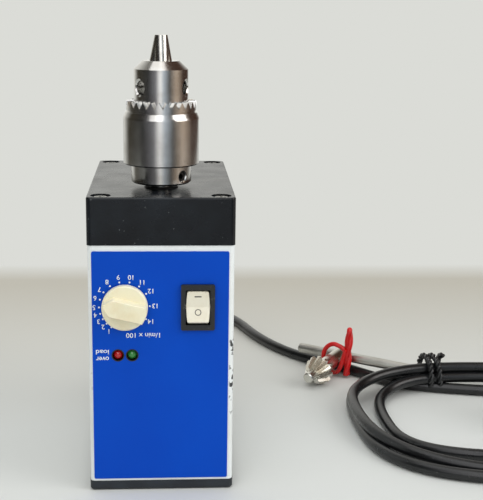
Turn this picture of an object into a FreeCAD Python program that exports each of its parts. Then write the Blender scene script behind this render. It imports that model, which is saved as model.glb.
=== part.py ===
import FreeCAD, Part

import math
import os

os.makedirs("parts", exist_ok=True)

V = FreeCAD.Vector

# Laboratory stirrer, stored standing on its cap with the drill chuck upwards.
# Millimetres. X to the right, Y away from the control panel, Z up.
# The origin is the centre of the cap's underside.

# Housing
BODY_WIDTH = 67.0
BODY_DEPTH = 115.0
CAP_HEIGHT = 4.8
SHELL_HEIGHT = 113.4
HEAD_HEIGHT = 21.9
SHELL_SETBACK = 0.2
HEAD_OVERHANG = 0.1
EDGE_RADIUS = 2.2
CAP_CHAMFER = 1.0
HEAD_ROUNDING = 0.8
SHELL_WALL = 2.4
HEAD_WALL = 4.0
HEAD_ROOF = 5.0
CAP_SPIGOT_HEIGHT = 5.0
CAP_SPIGOT_WALL = 2.0

# Corner screws of head and cap
CORNER_SCREW_INSET_X = 6.4
CORNER_SCREW_INSET_Y = 5.6
COLUMN_RADIUS = 6.2
PORT_RADIUS = 3.4
CORNER_SCREW_RADIUS = 2.0
HEAD_SCREW_HEAD_RADIUS = 3.5
HEAD_SCREW_HEAD_HEIGHT = 2.4
HEAD_SCREW_DEPTH = 0.6
HEAD_RECESS_RADIUS = 4.6
HEAD_SCREW_LENGTH = 30.0
CAP_SCREW_HEAD_RADIUS = 3.8
CAP_SCREW_HEAD_HEIGHT = 2.2
CAP_SCREW_LENGTH = 14.0
DRIVE_SLOT_LENGTH = 4.2
DRIVE_SLOT_WIDTH = 1.0
DRIVE_SLOT_DEPTH = 1.1

# Panel foil and what stands in it
PANEL_LEFT = -31.5
PANEL_RIGHT = 30.8
PANEL_LOW = 5.9
PANEL_HIGH = 115.5
PANEL_THICKNESS = 0.35
PANEL_CORNER = 0.8
KNOB_SHARE = -0.247
KNOB_Z = 89.9
SWITCH_SHARE = 0.2485
SWITCH_Z = 89.5
LAMPS_SHARE = -0.2485
LAMP_GAP = 0.64
LED_Z = 66.6

# Speed knob and potentiometer
KNOB_RADIUS = 10.45
KNOB_SKIRT = 3.3
KNOB_GAP = 0.9
KNOB_GRIP_HEIGHT = 5.6
KNOB_GRIP_WIDTH = 8.0
KNOB_POINT_WIDTH = 1.6
KNOB_SHOULDER = 6.2
KNOB_POINTER_TILT = 13.5
KNOB_CHAMFER = 0.6
KNOB_GRIP_CHAMFER = 0.3
POT_SHAFT_RADIUS = 3.0
POT_SHAFT_IN_KNOB = 6.0
POT_BUSH_RADIUS = 3.6
POT_CLEARANCE = 0.65
POT_BODY_DEPTH = 9.0
POT_SHAFT_REACH = 5.5
POT_TAG_WIDTH = 10.0
POT_TAG_LENGTH = 4.0
POT_TAG_SETBACK = 2.0
POT_TAG_THICKNESS = 2.0
POT_NUT_FLATS = 9.0
POT_NUT_THICKNESS = 1.6
KNOB_RECESS_RADIUS = 6.4
KNOB_RECESS_DEPTH = 1.2

# Rocker switch
BEZEL_WIDTH = 15.5
BEZEL_HEIGHT = 21.5
BEZEL_THICKNESS = 1.7
BEZEL_CORNER = 0.9
SWITCH_CASE_SIDE = 0.9
SWITCH_CASE_END = 1.4
SWITCH_CASE_DEPTH = 19.0
ROCKER_WIDTH = 10.6
ROCKER_END_WIDTH = 9.5
ROCKER_CORNER = 1.0
ROCKER_HALF_LENGTH = 7.3
ROCKER_END_GAP = 0.4
ROCKER_POCKET_DEPTH = 9.0
ROCKER_PIVOT_DEPTH = 2.0
ROCKER_CENTRE_PROUD = 0.7
ROCKER_END_PROUD = 2.0
ROCKER_BACK_DEPTH = 2.4
ROCKER_TILT = 11.0
ROCKER_PIN_RADIUS = 1.1
ROCKER_PIN_REACH = 0.7
TERMINAL_WIDTH = 6.3
TERMINAL_THICKNESS = 0.8
TERMINAL_LENGTH = 7.5
TERMINAL_INSET_X = 3.0
TERMINAL_INSET_Z = 4.6

# Indicator lamps
LED_RADIUS = 2.5
LED_LENGTH = 6.0
LED_FLANGE_RADIUS = 2.9
LED_FLANGE_THICKNESS = 1.0
LED_RECESS = 0.2
LED_BEZEL_WALL = 0.4
LED_BEZEL_PROUD = 0.12
LED_LEAD_SPACING = 2.54
LED_LEAD_WIDTH = 0.5

# Control board on the back of the front wall
BOARD_MARGIN = 3.9
BOARD_LOW = 16.0
BOARD_HIGH = 78.0
BOARD_THICKNESS = 1.6
STANDOFF_LENGTH = 11.4
STANDOFF_RADIUS = 2.6
STANDOFF_INSET_X = 7.5
STANDOFF_INSET_Z = 4.0
BOARD_SCREW_RADIUS = 1.5
BOARD_SCREW_HEAD_RADIUS = 2.7
BOARD_SCREW_HEAD_HEIGHT = 1.8

# Parts on the board, placed from its edges
TRANSFORMER_MARGIN = 10.0
TRANSFORMER_HEIGHT = 28.0
TRANSFORMER_DEPTH = 16.0
TRANSFORMER_STAND_OFF = 3.0
TRANSFORMER_ABOVE_EDGE = 8.0
BOBBIN_INSET_X = 7.0
BOBBIN_INSET_Z = 3.0
MAIN_CAPACITOR_RADIUS = 6.5
MAIN_CAPACITOR_LENGTH = 20.0
MAIN_CAPACITOR_FROM_SIDE = 9.0
MAIN_CAPACITOR_FROM_TOP = 15.0
SMALL_CAPACITOR_RADIUS = 4.0
SMALL_CAPACITOR_LENGTH = 12.0
CAPACITOR_SPACE = 2.5
FILM_CAPACITOR_WIDTH = 5.0
FILM_CAPACITOR_HEIGHT = 14.0
FILM_CAPACITOR_LENGTH = 10.0
FILM_CAPACITOR_FROM_SIDE = 3.0
HEAT_SINK_SPACE = 5.0
HEAT_SINK_FROM_SIDE = 3.0
HEAT_SINK_FROM_TOP = 10.0
HEAT_SINK_HEIGHT = 11.0
HEAT_SINK_DEPTH = 16.0
HEAT_SINK_FOOT = 2.0
HEAT_SINK_FINS = 5
HEAT_SINK_FIN_THICKNESS = 1.5
TERMINAL_BLOCK_SPACE = 2.8
TERMINAL_BLOCK_FROM_EDGE = 1.5
TERMINAL_BLOCK_HEIGHT = 5.5
TERMINAL_BLOCK_DEPTH = 11.0
TERMINAL_BLOCK_WAYS = 4
TERMINAL_BLOCK_HOLE_RADIUS = 1.6
TERMINAL_BLOCK_FLOOR = 3.0

# Spindle, gears and bearings
SPINDLE_SETBACK = 29.0
SPINDLE_RADIUS = 5.0
SPINDLE_FOOT_RADIUS = 4.0
GEAR_MODULE = 1.0
GEAR_TEETH = 45
PINION_TEETH = 15
GEAR_WIDTH = 6.0
GEAR_HUB_RADIUS = 9.0
PINION_OVERLAP = 0.5
PRESSURE_ANGLE = 20.0
BACKLASH = 0.12
TOOTH_ADDENDUM = 0.95
TOOTH_DEDENDUM = 1.25
TOP_BEARING_OUTER = 13.0
TOP_BEARING_WIDTH = 8.0
FOOT_BEARING_OUTER = 11.0
FOOT_BEARING_WIDTH = 7.0
BEARING_RING_SHARE = 2.0
BEARING_WALL = 3.0
FOOT_BEARING_WALL = 2.0
FOOT_BEARING_LIP = 1.4
FOOT_BEARING_LIP_RADIUS = 7.6
SEAL_RADIUS = 8.0
SEAL_PROUD = 0.6
SEAL_DEPTH = 2.5
GEAR_KEY_SIDE = 3.0

# Gear plate that carries the motor
PLATE_THICKNESS = 3.6
PLATE_BELOW_HEAD = 4.0
PLATE_SCREW_FROM_SIDE = 7.5
PLATE_SCREW_FROM_FRONT = 15.0
PLATE_SCREW_FROM_BACK = 17.5
PLATE_BOSS_RADIUS = 4.2
PLATE_SCREW_RADIUS = 1.5
PLATE_SCREW_HEAD_RADIUS = 2.7
PLATE_SCREW_HEAD_HEIGHT = 1.8
PLATE_SCREW_GRIP = 7.0

# Motor
MOTOR_RADIUS = 16.2
MOTOR_WALL = 1.6
MOTOR_FACE = 3.0
MOTOR_SHAFT_RADIUS = 2.0
MOTOR_BUSH_RADIUS = 4.5
MOTOR_BUSH_LENGTH = 6.0
MOTOR_BELL_HEIGHT = 5.0
MOTOR_SCREW_CIRCLE = 12.8
MOTOR_SCREW_RADIUS = 1.4
ARMATURE_RADIUS = 10.0
ARMATURE_LENGTH = 34.0
ARMATURE_SLOTS = 5
ARMATURE_SLOT_WIDTH = 3.0
ARMATURE_SLOT_DEPTH = 5.0
MAGNET_GAP = 0.6
MAGNET_SPAN = 130.0
COMMUTATOR_RADIUS = 5.0
COMMUTATOR_LENGTH = 6.0

# Keyed drill chuck, sizes along the axis from the head's top face
CHUCK_STAND_OFF = 2.5
COLLAR_RADIUS = 14.05
COLLAR_HEIGHT = 8.4
CHUCK_HEIGHT = 56.3
NOSE_RADIUS = 12.55
NOSE_TIP_RADIUS = 8.45
NOSE_CONE = 3.8
SLEEVE_FROM_BASE = 8.8
SLEEVE_RADIUS = 17.65
SLEEVE_BAND_TOP = 30.4
SLEEVE_CONE_TOP = 32.8
SLEEVE_SHOULDER = 3.0
SLEEVE_CONE_RADIUS = 16.6
RIM_LOW = 33.8
RIM_TOP = 38.0
RIM_RADIUS = 16.25
RIM_NECK_RADIUS = 15.95
RIM_TEETH = 27
RIM_TOOTH_DEPTH = 3.0
RIM_CREST = 0.28
RIM_PHASE = 2.9
RIM_CLEARANCE = 0.25
SLEEVE_BORE_RADIUS = 15.95
SLEEVE_LIP = 1.2
NUT_LOW = 25.4
NUT_HIGH = 33.9
NUT_SPLIT = 0.4
BODY_CORE_RADIUS = 9.0
BODY_MID_RADIUS = 13.0
CHUCK_BORE_RADIUS = 4.3
CHUCK_SOCKET_DEPTH = 14.1
JAW_COUNT = 3
JAW_RADIUS = 3.2
JAW_LEAN = 12.5
JAW_TIP_RADIUS = 2.95
JAW_REACH = 11.6
JAW_LENGTH = 39.0
JAW_GAP = 0.08
JAW_AZIMUTH = 8.0
JAW_THREAD_PITCH = 1.6
JAW_TRAVEL = 18.0
KEY_HOLE_RADIUS = 3.15
KEY_HOLE_MOUTH_RADIUS = 3.75
KEY_HOLE_HEIGHT = 44.3
KEY_HOLE_BOTTOM_RADIUS = 6.8
KEY_HOLE_AZIMUTH = -53.0
SET_SCREW_RADIUS = 2.2
SET_SCREW_MOUTH_RADIUS = 2.9
SET_SCREW_HEIGHT = 3.9
SET_SCREW_AZIMUTH = 45.0
SET_SCREW_SUNK = 1.2
HEX_SOCKET_FLATS = 2.5
HEX_SOCKET_DEPTH = 2.0

# Rod socket and cord gland in the rear wall
ROD_SOCKET_Z = 98.0
ROD_THREAD_RADIUS = 4.25
ROD_SOCKET_RADIUS = 8.0
ROD_SOCKET_DEPTH = 16.0
ROD_SOCKET_PROUD = 1.6
ROD_FLANGE_WIDTH = 34.0
ROD_FLANGE_HEIGHT = 20.0
ROD_FLANGE_THICKNESS = 5.0
ROD_SCREW_SPACING = 24.0
ROD_SCREW_RADIUS = 2.0
ROD_SCREW_HEAD_RADIUS = 3.5
ROD_SCREW_HEAD_HEIGHT = 2.2
GLAND_X = -12.0
GLAND_Z = 24.0
GLAND_THREAD_RADIUS = 6.0
GLAND_FLANGE_RADIUS = 8.5
GLAND_FLANGE = 3.0
GLAND_BOOT_RADIUS = 6.2
GLAND_BOOT_END_RADIUS = 4.2
GLAND_BOOT_LENGTH = 24.0
GLAND_NUT_FLATS = 15.0
GLAND_NUT_THICKNESS = 3.5

# Mains cord, coil and plug
CORD_RADIUS = 3.1
CORD_START_Y = 46.0
CORD_ROUTE = [
    (-12.0, 103.0, 24.0),
    (-15.0, 136.0, 16.0),
    (-19.0, 168.0, 7.0),
    (-19.5, 204.0, 3.4),
    (-8.5, 230.5, 3.2),
    (18.0, 241.5, 3.3),
    (44.5, 230.5, 3.3),
    (55.5, 204.0, 3.3),
    (61.0, 184.0, 3.2),
    (68.0, 166.0, 3.2),
    (76.5, 149.0, 3.2),
    (87.5, 133.0, 3.2),
    (100.8, 121.2, 3.2),
    (114.0, 108.5, 3.2),
    (124.5, 96.0, 3.2),
    (134.5, 84.5, 3.2),
    (148.0, 74.5, 3.2),
]
COIL_LEFT = 101.0
COIL_RIGHT = 296.0
COIL_FRONT = -61.0
COIL_BACK = 82.0
COIL_CORNER = 62.0
COIL_EYE_LEFT = 127.0
COIL_EYE_RIGHT = 269.0
COIL_EYE_FRONT = -26.0
COIL_EYE_BACK = 54.0
COIL_EYE_CORNER = 36.0
COIL_LAYER = 6.3
COIL_UPPER_FROM_X = 164.0
TIE_X = 161.0
TIE_GAP = 0.3
TIE_BAND = 5.0
TIE_THICKNESS = 1.6
PLUG_RADIUS = 18.5
PLUG_FACE = 14.0
PLUG_WAIST_RADIUS = 12.5
PLUG_BODY_LENGTH = 40.0
PLUG_BOOT_LENGTH = 22.0
PLUG_BOOT_RADIUS = 6.0
PLUG_BOOT_END_RADIUS = 4.5
PLUG_END_X = 267.0
PLUG_Y = 14.0
PIN_RADIUS = 2.4
PIN_LENGTH = 19.0
PIN_SPACING = 19.0

# Chuck key lying on the cord
KEY_X = 109.9
KEY_Y = 109.6
KEY_BAR_Z = 11.1
KEY_HEADING = -126.0
KEY_SHAFT_RADIUS = 4.7
KEY_HEAD_REACH = 5.5
KEY_PINION_START = 25.6
KEY_PINION_BACK = 1.4
KEY_PINION_LENGTH = 7.6
KEY_PINION_RADIUS = 8.8
KEY_PINION_NOSE_RADIUS = 5.6
KEY_TEETH = 11
KEY_TOOTH_DEPTH = 2.8
KEY_PILOT_RADIUS = 3.1
KEY_PILOT_LENGTH = 6.3
KEY_BAR_RADIUS = 3.0
KEY_BAR_LEFT = 28.2
KEY_BAR_RIGHT = 56.5
KEY_BAR_CHAMFER = 0.6
KEY_TIE_RADIUS = 1.9
KEY_TIE_TOP = 31.5
KEY_TIE_FROM_BAR = 6.7
KEY_TIE_BAND_RADIUS = 1.1
KEY_TIE_SUNK = 0.2

# Clearances
FIT = 0.03
RUNNING = 0.05
EASY = 0.3

# Levels and places worked out from the sizes above
SHELL_LOW = CAP_HEIGHT
SHELL_TOP = SHELL_LOW + SHELL_HEIGHT
HEAD_TOP = SHELL_TOP + HEAD_HEIGHT
ROOF_UNDERSIDE = HEAD_TOP - HEAD_ROOF
SHELL_WIDTH = BODY_WIDTH - 2 * SHELL_SETBACK
SHELL_DEPTH = BODY_DEPTH - 2 * SHELL_SETBACK
HEAD_WIDTH = BODY_WIDTH + 2 * HEAD_OVERHANG
HEAD_DEPTH = BODY_DEPTH + 2 * HEAD_OVERHANG
INNER_WIDTH = SHELL_WIDTH - 2 * SHELL_WALL
INNER_DEPTH = SHELL_DEPTH - 2 * SHELL_WALL
WALL_FRONT = -SHELL_DEPTH / 2
WALL_FRONT_INSIDE = WALL_FRONT + SHELL_WALL
WALL_BACK = SHELL_DEPTH / 2
WALL_BACK_INSIDE = WALL_BACK - SHELL_WALL
PANEL_FRONT = WALL_FRONT - PANEL_THICKNESS
SCREW_X = HEAD_WIDTH / 2 - CORNER_SCREW_INSET_X
SCREW_Y = HEAD_DEPTH / 2 - CORNER_SCREW_INSET_Y
CORNERS = [(sx * SCREW_X, sy * SCREW_Y) for sx in (-1, 1) for sy in (-1, 1)]

LED_BEZEL_RADIUS = LED_RADIUS + FIT + LED_BEZEL_WALL
LAMP_SPACING = 2 * LED_BEZEL_RADIUS + LAMP_GAP
KNOB_X = KNOB_SHARE * BODY_WIDTH
SWITCH_X = SWITCH_SHARE * BODY_WIDTH
RED_LED_X = LAMPS_SHARE * BODY_WIDTH - LAMP_SPACING / 2
GREEN_LED_X = LAMPS_SHARE * BODY_WIDTH + LAMP_SPACING / 2
POT_BODY_RADIUS = SCREW_X - PORT_RADIUS + KNOB_X - POT_CLEARANCE
ROCKER_SWING = math.hypot(ROCKER_HALF_LENGTH, ROCKER_PIVOT_DEPTH + ROCKER_CENTRE_PROUD)
ROCKER_OPENING_WIDTH = ROCKER_WIDTH + 2 * EASY
ROCKER_OPENING_HEIGHT = 2 * (ROCKER_SWING + ROCKER_END_GAP)
SWITCH_CASE_WIDTH = ROCKER_OPENING_WIDTH + 2 * SWITCH_CASE_SIDE
SWITCH_CASE_HEIGHT = ROCKER_OPENING_HEIGHT + 2 * SWITCH_CASE_END
BOARD_WIDTH = INNER_WIDTH - 2 * BOARD_MARGIN

PLATE_TOP = SHELL_TOP + PLATE_BELOW_HEAD
PLATE_LOW = PLATE_TOP - PLATE_THICKNESS
PLATE_SCREWS = [
    (side * (BODY_WIDTH / 2 - PLATE_SCREW_FROM_SIDE), y)
    for side in (-1, 1)
    for y in (-BODY_DEPTH / 2 + PLATE_SCREW_FROM_FRONT, BODY_DEPTH / 2 - PLATE_SCREW_FROM_BACK)
]

SPINDLE_Y = -BODY_DEPTH / 2 + SPINDLE_SETBACK
GEAR_PITCH_RADIUS = GEAR_MODULE * GEAR_TEETH / 2
PINION_PITCH_RADIUS = GEAR_MODULE * PINION_TEETH / 2
MOTOR_Y = SPINDLE_Y + GEAR_PITCH_RADIUS + PINION_PITCH_RADIUS
GEAR_LOW = PLATE_TOP + 2 * EASY
GEAR_HIGH = GEAR_LOW + GEAR_WIDTH
SEAL_LOW = HEAD_TOP - SEAL_DEPTH
TOP_BEARING_HIGH = SEAL_LOW
TOP_BEARING_LOW = TOP_BEARING_HIGH - TOP_BEARING_WIDTH
FOOT_BEARING_HIGH = PLATE_LOW + 1.0
FOOT_BEARING_LOW = FOOT_BEARING_HIGH - FOOT_BEARING_WIDTH
MOTOR_TOP = PLATE_LOW
MOTOR_LENGTH = 2 * MOTOR_BUSH_LENGTH + ARMATURE_LENGTH + COMMUTATOR_LENGTH + 5 * MOTOR_WALL
MOTOR_LOW = MOTOR_TOP - MOTOR_LENGTH
PINION_HOLE_RADIUS = PINION_PITCH_RADIUS + GEAR_MODULE + 2 * EASY

CHUCK_BASE = HEAD_TOP + CHUCK_STAND_OFF
CHUCK_TOP = CHUCK_BASE + CHUCK_HEIGHT
CHUCK_SOCKET_TOP = CHUCK_BASE + CHUCK_SOCKET_DEPTH


def block(x0, x1, y0, y1, z0, z1):
    return Part.makeBox(x1 - x0, y1 - y0, z1 - z0, V(x0, y0, z0))


def post(radius, low, high, x=0.0, y=0.0):
    return Part.makeCylinder(radius, high - low, V(x, y, low))


def ring(outer, inner, low, high, x=0.0, y=0.0):
    return post(outer, low, high, x, y).cut(post(inner, low, high, x, y))


def bar_along_y(radius, front, back, x, z):
    return Part.makeCylinder(radius, back - front, V(x, front, z), V(0, 1, 0))


def cone_along_y(front_radius, back_radius, front, back, x, z):
    return Part.makeCone(front_radius, back_radius, back - front, V(x, front, z), V(0, 1, 0))


def rounded_outline(left, right, front, back, corner, height):
    """A closed outline in a level plane: four straight runs joined by quarter arcs."""
    diagonal = corner * (1 - math.sqrt(0.5))
    bottom = Part.LineSegment(V(left + corner, front, height), V(right - corner, front, height))
    near_right = Part.Arc(
        V(right - corner, front, height),
        V(right - diagonal, front + diagonal, height),
        V(right, front + corner, height),
    )
    side = Part.LineSegment(V(right, front + corner, height), V(right, back - corner, height))
    far_right = Part.Arc(
        V(right, back - corner, height),
        V(right - diagonal, back - diagonal, height),
        V(right - corner, back, height),
    )
    top = Part.LineSegment(V(right - corner, back, height), V(left + corner, back, height))
    far_left = Part.Arc(
        V(left + corner, back, height),
        V(left + diagonal, back - diagonal, height),
        V(left, back - corner, height),
    )
    other = Part.LineSegment(V(left, back - corner, height), V(left, front + corner, height))
    near_left = Part.Arc(
        V(left, front + corner, height),
        V(left + diagonal, front + diagonal, height),
        V(left + corner, front, height),
    )
    curves = [bottom, near_right, side, far_right, top, far_left, other, near_left]
    return Part.Wire([curve.toShape() for curve in curves])


def rounded_block(left, right, front, back, low, high, corner):
    outline = rounded_outline(left, right, front, back, corner, low)
    return Part.Face(outline).extrude(V(0, 0, high - low))


def centred_block(width, depth, low, high, corner):
    return rounded_block(-width / 2, width / 2, -depth / 2, depth / 2, low, high, corner)


def upright_block(left, right, low, high, front, back, corner):
    """A rounded block whose rounded outline faces the front."""
    flat = rounded_block(left, right, low, high, 0.0, back - front, corner)
    flat.rotate(V(0, 0, 0), V(1, 0, 0), 90)
    flat.translate(V(0, back, 0))
    return flat


def lathe(profile):
    """Turns a closed profile of (radius, height) points about the Z axis."""
    corners = [V(radius, 0, height) for radius, height in profile]
    face = Part.Face(Part.makePolygon(corners + corners[:1]))
    return face.revolve(V(0, 0, 0), V(0, 0, 1), 360)


def hexagon(flats, low, high):
    across = flats / math.sqrt(3)
    corners = [
        V(across * math.cos(math.radians(60 * i)), across * math.sin(math.radians(60 * i)), low)
        for i in range(7)
    ]
    return Part.Face(Part.makePolygon(corners)).extrude(V(0, 0, high - low))


def facing_back(shape, x, y, z):
    """Lays a shape made along +Z so that it points to +Y from the given place."""
    shape.rotate(V(0, 0, 0), V(1, 0, 0), -90)
    shape.translate(V(x, y, z))
    return shape


def fused(shapes):
    whole = shapes[0]
    if len(shapes) > 1:
        whole = whole.fuse(shapes[1:])
    return whole.removeSplitter()


def without(shape, cutters):
    return shape.cut(Part.makeCompound(cutters))


def solids_of(shape):
    return shape.Solids if shape.Solids else [Part.makeSolid(shape)]


def save(node, *shapes):
    solids = [solid for shape in shapes for solid in solids_of(shape)]
    whole = solids[0] if len(solids) == 1 else Part.makeCompound(solids)
    if not whole.isValid():
        print("not valid:", node)
    whole.exportStep(f"parts/{node}.step")
    print(f"{node}: {len(solids)} solid(s), {whole.Volume:.1f} mm3")
    return whole


def cross_slots(x, y, top):
    """The cross recess in a screw head that faces up."""
    half, wide = DRIVE_SLOT_LENGTH / 2, DRIVE_SLOT_WIDTH / 2
    low = top - DRIVE_SLOT_DEPTH
    one = block(x - half, x + half, y - wide, y + wide, low, top)
    other = block(x - wide, x + wide, y - half, y + half, low, top)
    return one.fuse(other)


# Housing: cap, shell and head block
def base_cap():
    plate = centred_block(BODY_WIDTH, BODY_DEPTH, 0.0, CAP_HEIGHT, EDGE_RADIUS)
    rim = [edge for edge in plate.Edges if abs(edge.CenterOfMass.z) < 1e-6]
    plate = plate.makeChamfer(CAP_CHAMFER, rim)
    top = CAP_HEIGHT + CAP_SPIGOT_HEIGHT
    reach = 2 * EASY
    outer = centred_block(INNER_WIDTH - reach, INNER_DEPTH - reach, CAP_HEIGHT, top, EDGE_RADIUS)
    inside = reach + 2 * CAP_SPIGOT_WALL
    inner = centred_block(INNER_WIDTH - inside, INNER_DEPTH - inside, CAP_HEIGHT, top, EDGE_RADIUS)
    ports = [post(PORT_RADIUS + EASY, CAP_HEIGHT, top, x, y) for x, y in CORNERS]
    spigot = without(outer, [inner] + ports)
    cap = fused([plate] + spigot.Solids)
    holes = []
    for x, y in CORNERS:
        holes.append(post(CORNER_SCREW_RADIUS + FIT, 0.0, CAP_HEIGHT, x, y))
        sink = CAP_SCREW_HEAD_RADIUS + FIT
        holes.append(
            Part.makeCone(sink, CORNER_SCREW_RADIUS + FIT, CAP_SCREW_HEAD_HEIGHT, V(x, y, 0))
        )
    return without(cap, holes)


def base_screws():
    screws = []
    for x, y in CORNERS:
        head = Part.makeCone(
            CAP_SCREW_HEAD_RADIUS, CORNER_SCREW_RADIUS, CAP_SCREW_HEAD_HEIGHT, V(x, y, 0)
        )
        shank = post(CORNER_SCREW_RADIUS, 0.0, CAP_SCREW_LENGTH, x, y)
        screws.append(fused([head, shank]).cut(cross_slots(x, y, DRIVE_SLOT_DEPTH)))
    return screws


def housing_shell():
    outer = centred_block(SHELL_WIDTH, SHELL_DEPTH, SHELL_LOW, SHELL_TOP, EDGE_RADIUS)
    inner = centred_block(INNER_WIDTH, INNER_DEPTH, SHELL_LOW, SHELL_TOP, EDGE_RADIUS / 2)
    ports = [post(PORT_RADIUS, SHELL_LOW, SHELL_TOP, x, y) for x, y in CORNERS]
    ports = [port.common(outer) for port in ports]
    shell = fused([outer.cut(inner)] + ports)
    cuts = [post(CORNER_SCREW_RADIUS + FIT, SHELL_LOW, SHELL_TOP, x, y) for x, y in CORNERS]
    front, back = WALL_FRONT - 1, WALL_FRONT_INSIDE + 1
    cuts.append(bar_along_y(POT_BUSH_RADIUS + FIT, front, back, KNOB_X, KNOB_Z))
    for x in (RED_LED_X, GREEN_LED_X):
        cuts.append(bar_along_y(LED_BEZEL_RADIUS + FIT, front, back, x, LED_Z))
    cuts.append(switch_cut_out(front, back))
    front, back = WALL_BACK_INSIDE - 1, WALL_BACK + 1
    cuts.append(bar_along_y(GLAND_THREAD_RADIUS + FIT, front, back, GLAND_X, GLAND_Z))
    cuts.append(bar_along_y(ROD_SOCKET_RADIUS + FIT, front, back, 0.0, ROD_SOCKET_Z))
    for x in (-ROD_SCREW_SPACING / 2, ROD_SCREW_SPACING / 2):
        cuts.append(bar_along_y(ROD_SCREW_RADIUS + FIT, front, back, x, ROD_SOCKET_Z))
        sink = ROD_SCREW_HEAD_RADIUS + FIT
        head_front = WALL_BACK - ROD_SCREW_HEAD_HEIGHT
        cuts.append(
            cone_along_y(ROD_SCREW_RADIUS + FIT, sink, head_front, WALL_BACK, x, ROD_SOCKET_Z)
        )
    return without(shell, cuts)


def switch_cut_out(front, back):
    half_width = SWITCH_CASE_WIDTH / 2 + FIT
    half_height = SWITCH_CASE_HEIGHT / 2 + FIT
    return block(
        SWITCH_X - half_width, SWITCH_X + half_width, front, back,
        SWITCH_Z - half_height, SWITCH_Z + half_height,
    )


def front_panel():
    foil = upright_block(
        PANEL_LEFT, PANEL_RIGHT, PANEL_LOW, PANEL_HIGH, PANEL_FRONT, WALL_FRONT, PANEL_CORNER
    )
    front, back = PANEL_FRONT - 1, WALL_FRONT + 1
    cuts = [
        bar_along_y(POT_BUSH_RADIUS + FIT, front, back, KNOB_X, KNOB_Z),
        switch_cut_out(front, back),
    ]
    for x in (RED_LED_X, GREEN_LED_X):
        cuts.append(bar_along_y(LED_BEZEL_RADIUS + FIT, front, back, x, LED_Z))
    return without(foil, cuts)


def head_block():
    outer = centred_block(HEAD_WIDTH, HEAD_DEPTH, SHELL_TOP, HEAD_TOP, EDGE_RADIUS)
    rim = [edge for edge in outer.Edges if abs(edge.CenterOfMass.z - HEAD_TOP) < 1e-6]
    outer = outer.makeFillet(HEAD_ROUNDING, rim)
    width, depth = HEAD_WIDTH - 2 * HEAD_WALL, HEAD_DEPTH - 2 * HEAD_WALL
    cavity = centred_block(width, depth, SHELL_TOP, ROOF_UNDERSIDE, EDGE_RADIUS)
    bosses = [post(COLUMN_RADIUS, SHELL_TOP, ROOF_UNDERSIDE, x, y) for x, y in CORNERS]
    bosses += [post(PLATE_BOSS_RADIUS, PLATE_TOP, ROOF_UNDERSIDE, x, y) for x, y in PLATE_SCREWS]
    bosses = [boss.common(cavity) for boss in bosses]
    bearing_boss = TOP_BEARING_OUTER + BEARING_WALL
    bosses.append(post(bearing_boss, TOP_BEARING_LOW, ROOF_UNDERSIDE, 0.0, SPINDLE_Y))
    head = fused([outer.cut(cavity)] + bosses)
    cuts = []
    for x, y in CORNERS:
        recess = HEAD_SCREW_DEPTH + HEAD_SCREW_HEAD_HEIGHT
        cuts.append(post(HEAD_RECESS_RADIUS, HEAD_TOP - recess, HEAD_TOP + 1, x, y))
        cuts.append(post(CORNER_SCREW_RADIUS + FIT, SHELL_TOP - 1, HEAD_TOP, x, y))
    for x, y in PLATE_SCREWS:
        cuts.append(
            post(PLATE_SCREW_RADIUS + FIT, PLATE_TOP, PLATE_TOP + PLATE_SCREW_GRIP, x, y)
        )
    cuts.append(
        post(TOP_BEARING_OUTER + FIT, TOP_BEARING_LOW, TOP_BEARING_HIGH, 0.0, SPINDLE_Y)
    )
    cuts.append(post(SEAL_RADIUS + FIT, SEAL_LOW - 1, HEAD_TOP + 1, 0.0, SPINDLE_Y))
    return without(head, cuts)


def head_screws():
    screws = []
    top = HEAD_TOP - HEAD_SCREW_DEPTH
    low = top - HEAD_SCREW_HEAD_HEIGHT
    for x, y in CORNERS:
        head = post(HEAD_SCREW_HEAD_RADIUS, low, top, x, y)
        rim = [edge for edge in head.Edges if abs(edge.CenterOfMass.z - top) < 1e-6]
        head = head.makeFillet(HEAD_SCREW_HEAD_HEIGHT / 3, rim)
        shank = post(CORNER_SCREW_RADIUS, top - HEAD_SCREW_LENGTH, low + FIT, x, y)
        screws.append(fused([head, shank]).cut(cross_slots(x, y, top)))
    return screws


# Gear plate, bearings and seal
def gear_plate():
    width = HEAD_WIDTH - 2 * HEAD_WALL - 2 * EASY
    depth = HEAD_DEPTH - 2 * HEAD_WALL - 2 * EASY
    plate = centred_block(width, depth, PLATE_LOW, PLATE_TOP, EDGE_RADIUS)
    cup_low = FOOT_BEARING_LOW - FOOT_BEARING_LIP
    cup = post(FOOT_BEARING_OUTER + FOOT_BEARING_WALL, cup_low, PLATE_TOP, 0.0, SPINDLE_Y)
    plate = fused([plate, cup])
    cuts = [post(COLUMN_RADIUS + EASY, PLATE_LOW - 1, PLATE_TOP + 1, x, y) for x, y in CORNERS]
    for x, y in PLATE_SCREWS:
        cuts.append(post(PLATE_SCREW_RADIUS + FIT, PLATE_LOW - 1, PLATE_TOP + 1, x, y))
    cuts.append(
        post(FOOT_BEARING_OUTER + FIT, FOOT_BEARING_LOW, PLATE_TOP + 1, 0.0, SPINDLE_Y)
    )
    cuts.append(post(FOOT_BEARING_LIP_RADIUS, cup_low - 1, PLATE_TOP, 0.0, SPINDLE_Y))
    cuts.append(post(PINION_HOLE_RADIUS, PLATE_LOW - 1, PLATE_TOP + 1, 0.0, MOTOR_Y))
    for side in (-1, 1):
        x = side * MOTOR_SCREW_CIRCLE
        cuts.append(post(MOTOR_SCREW_RADIUS + FIT, PLATE_LOW - 1, PLATE_TOP + 1, x, MOTOR_Y))
    return without(plate, cuts)


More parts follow.
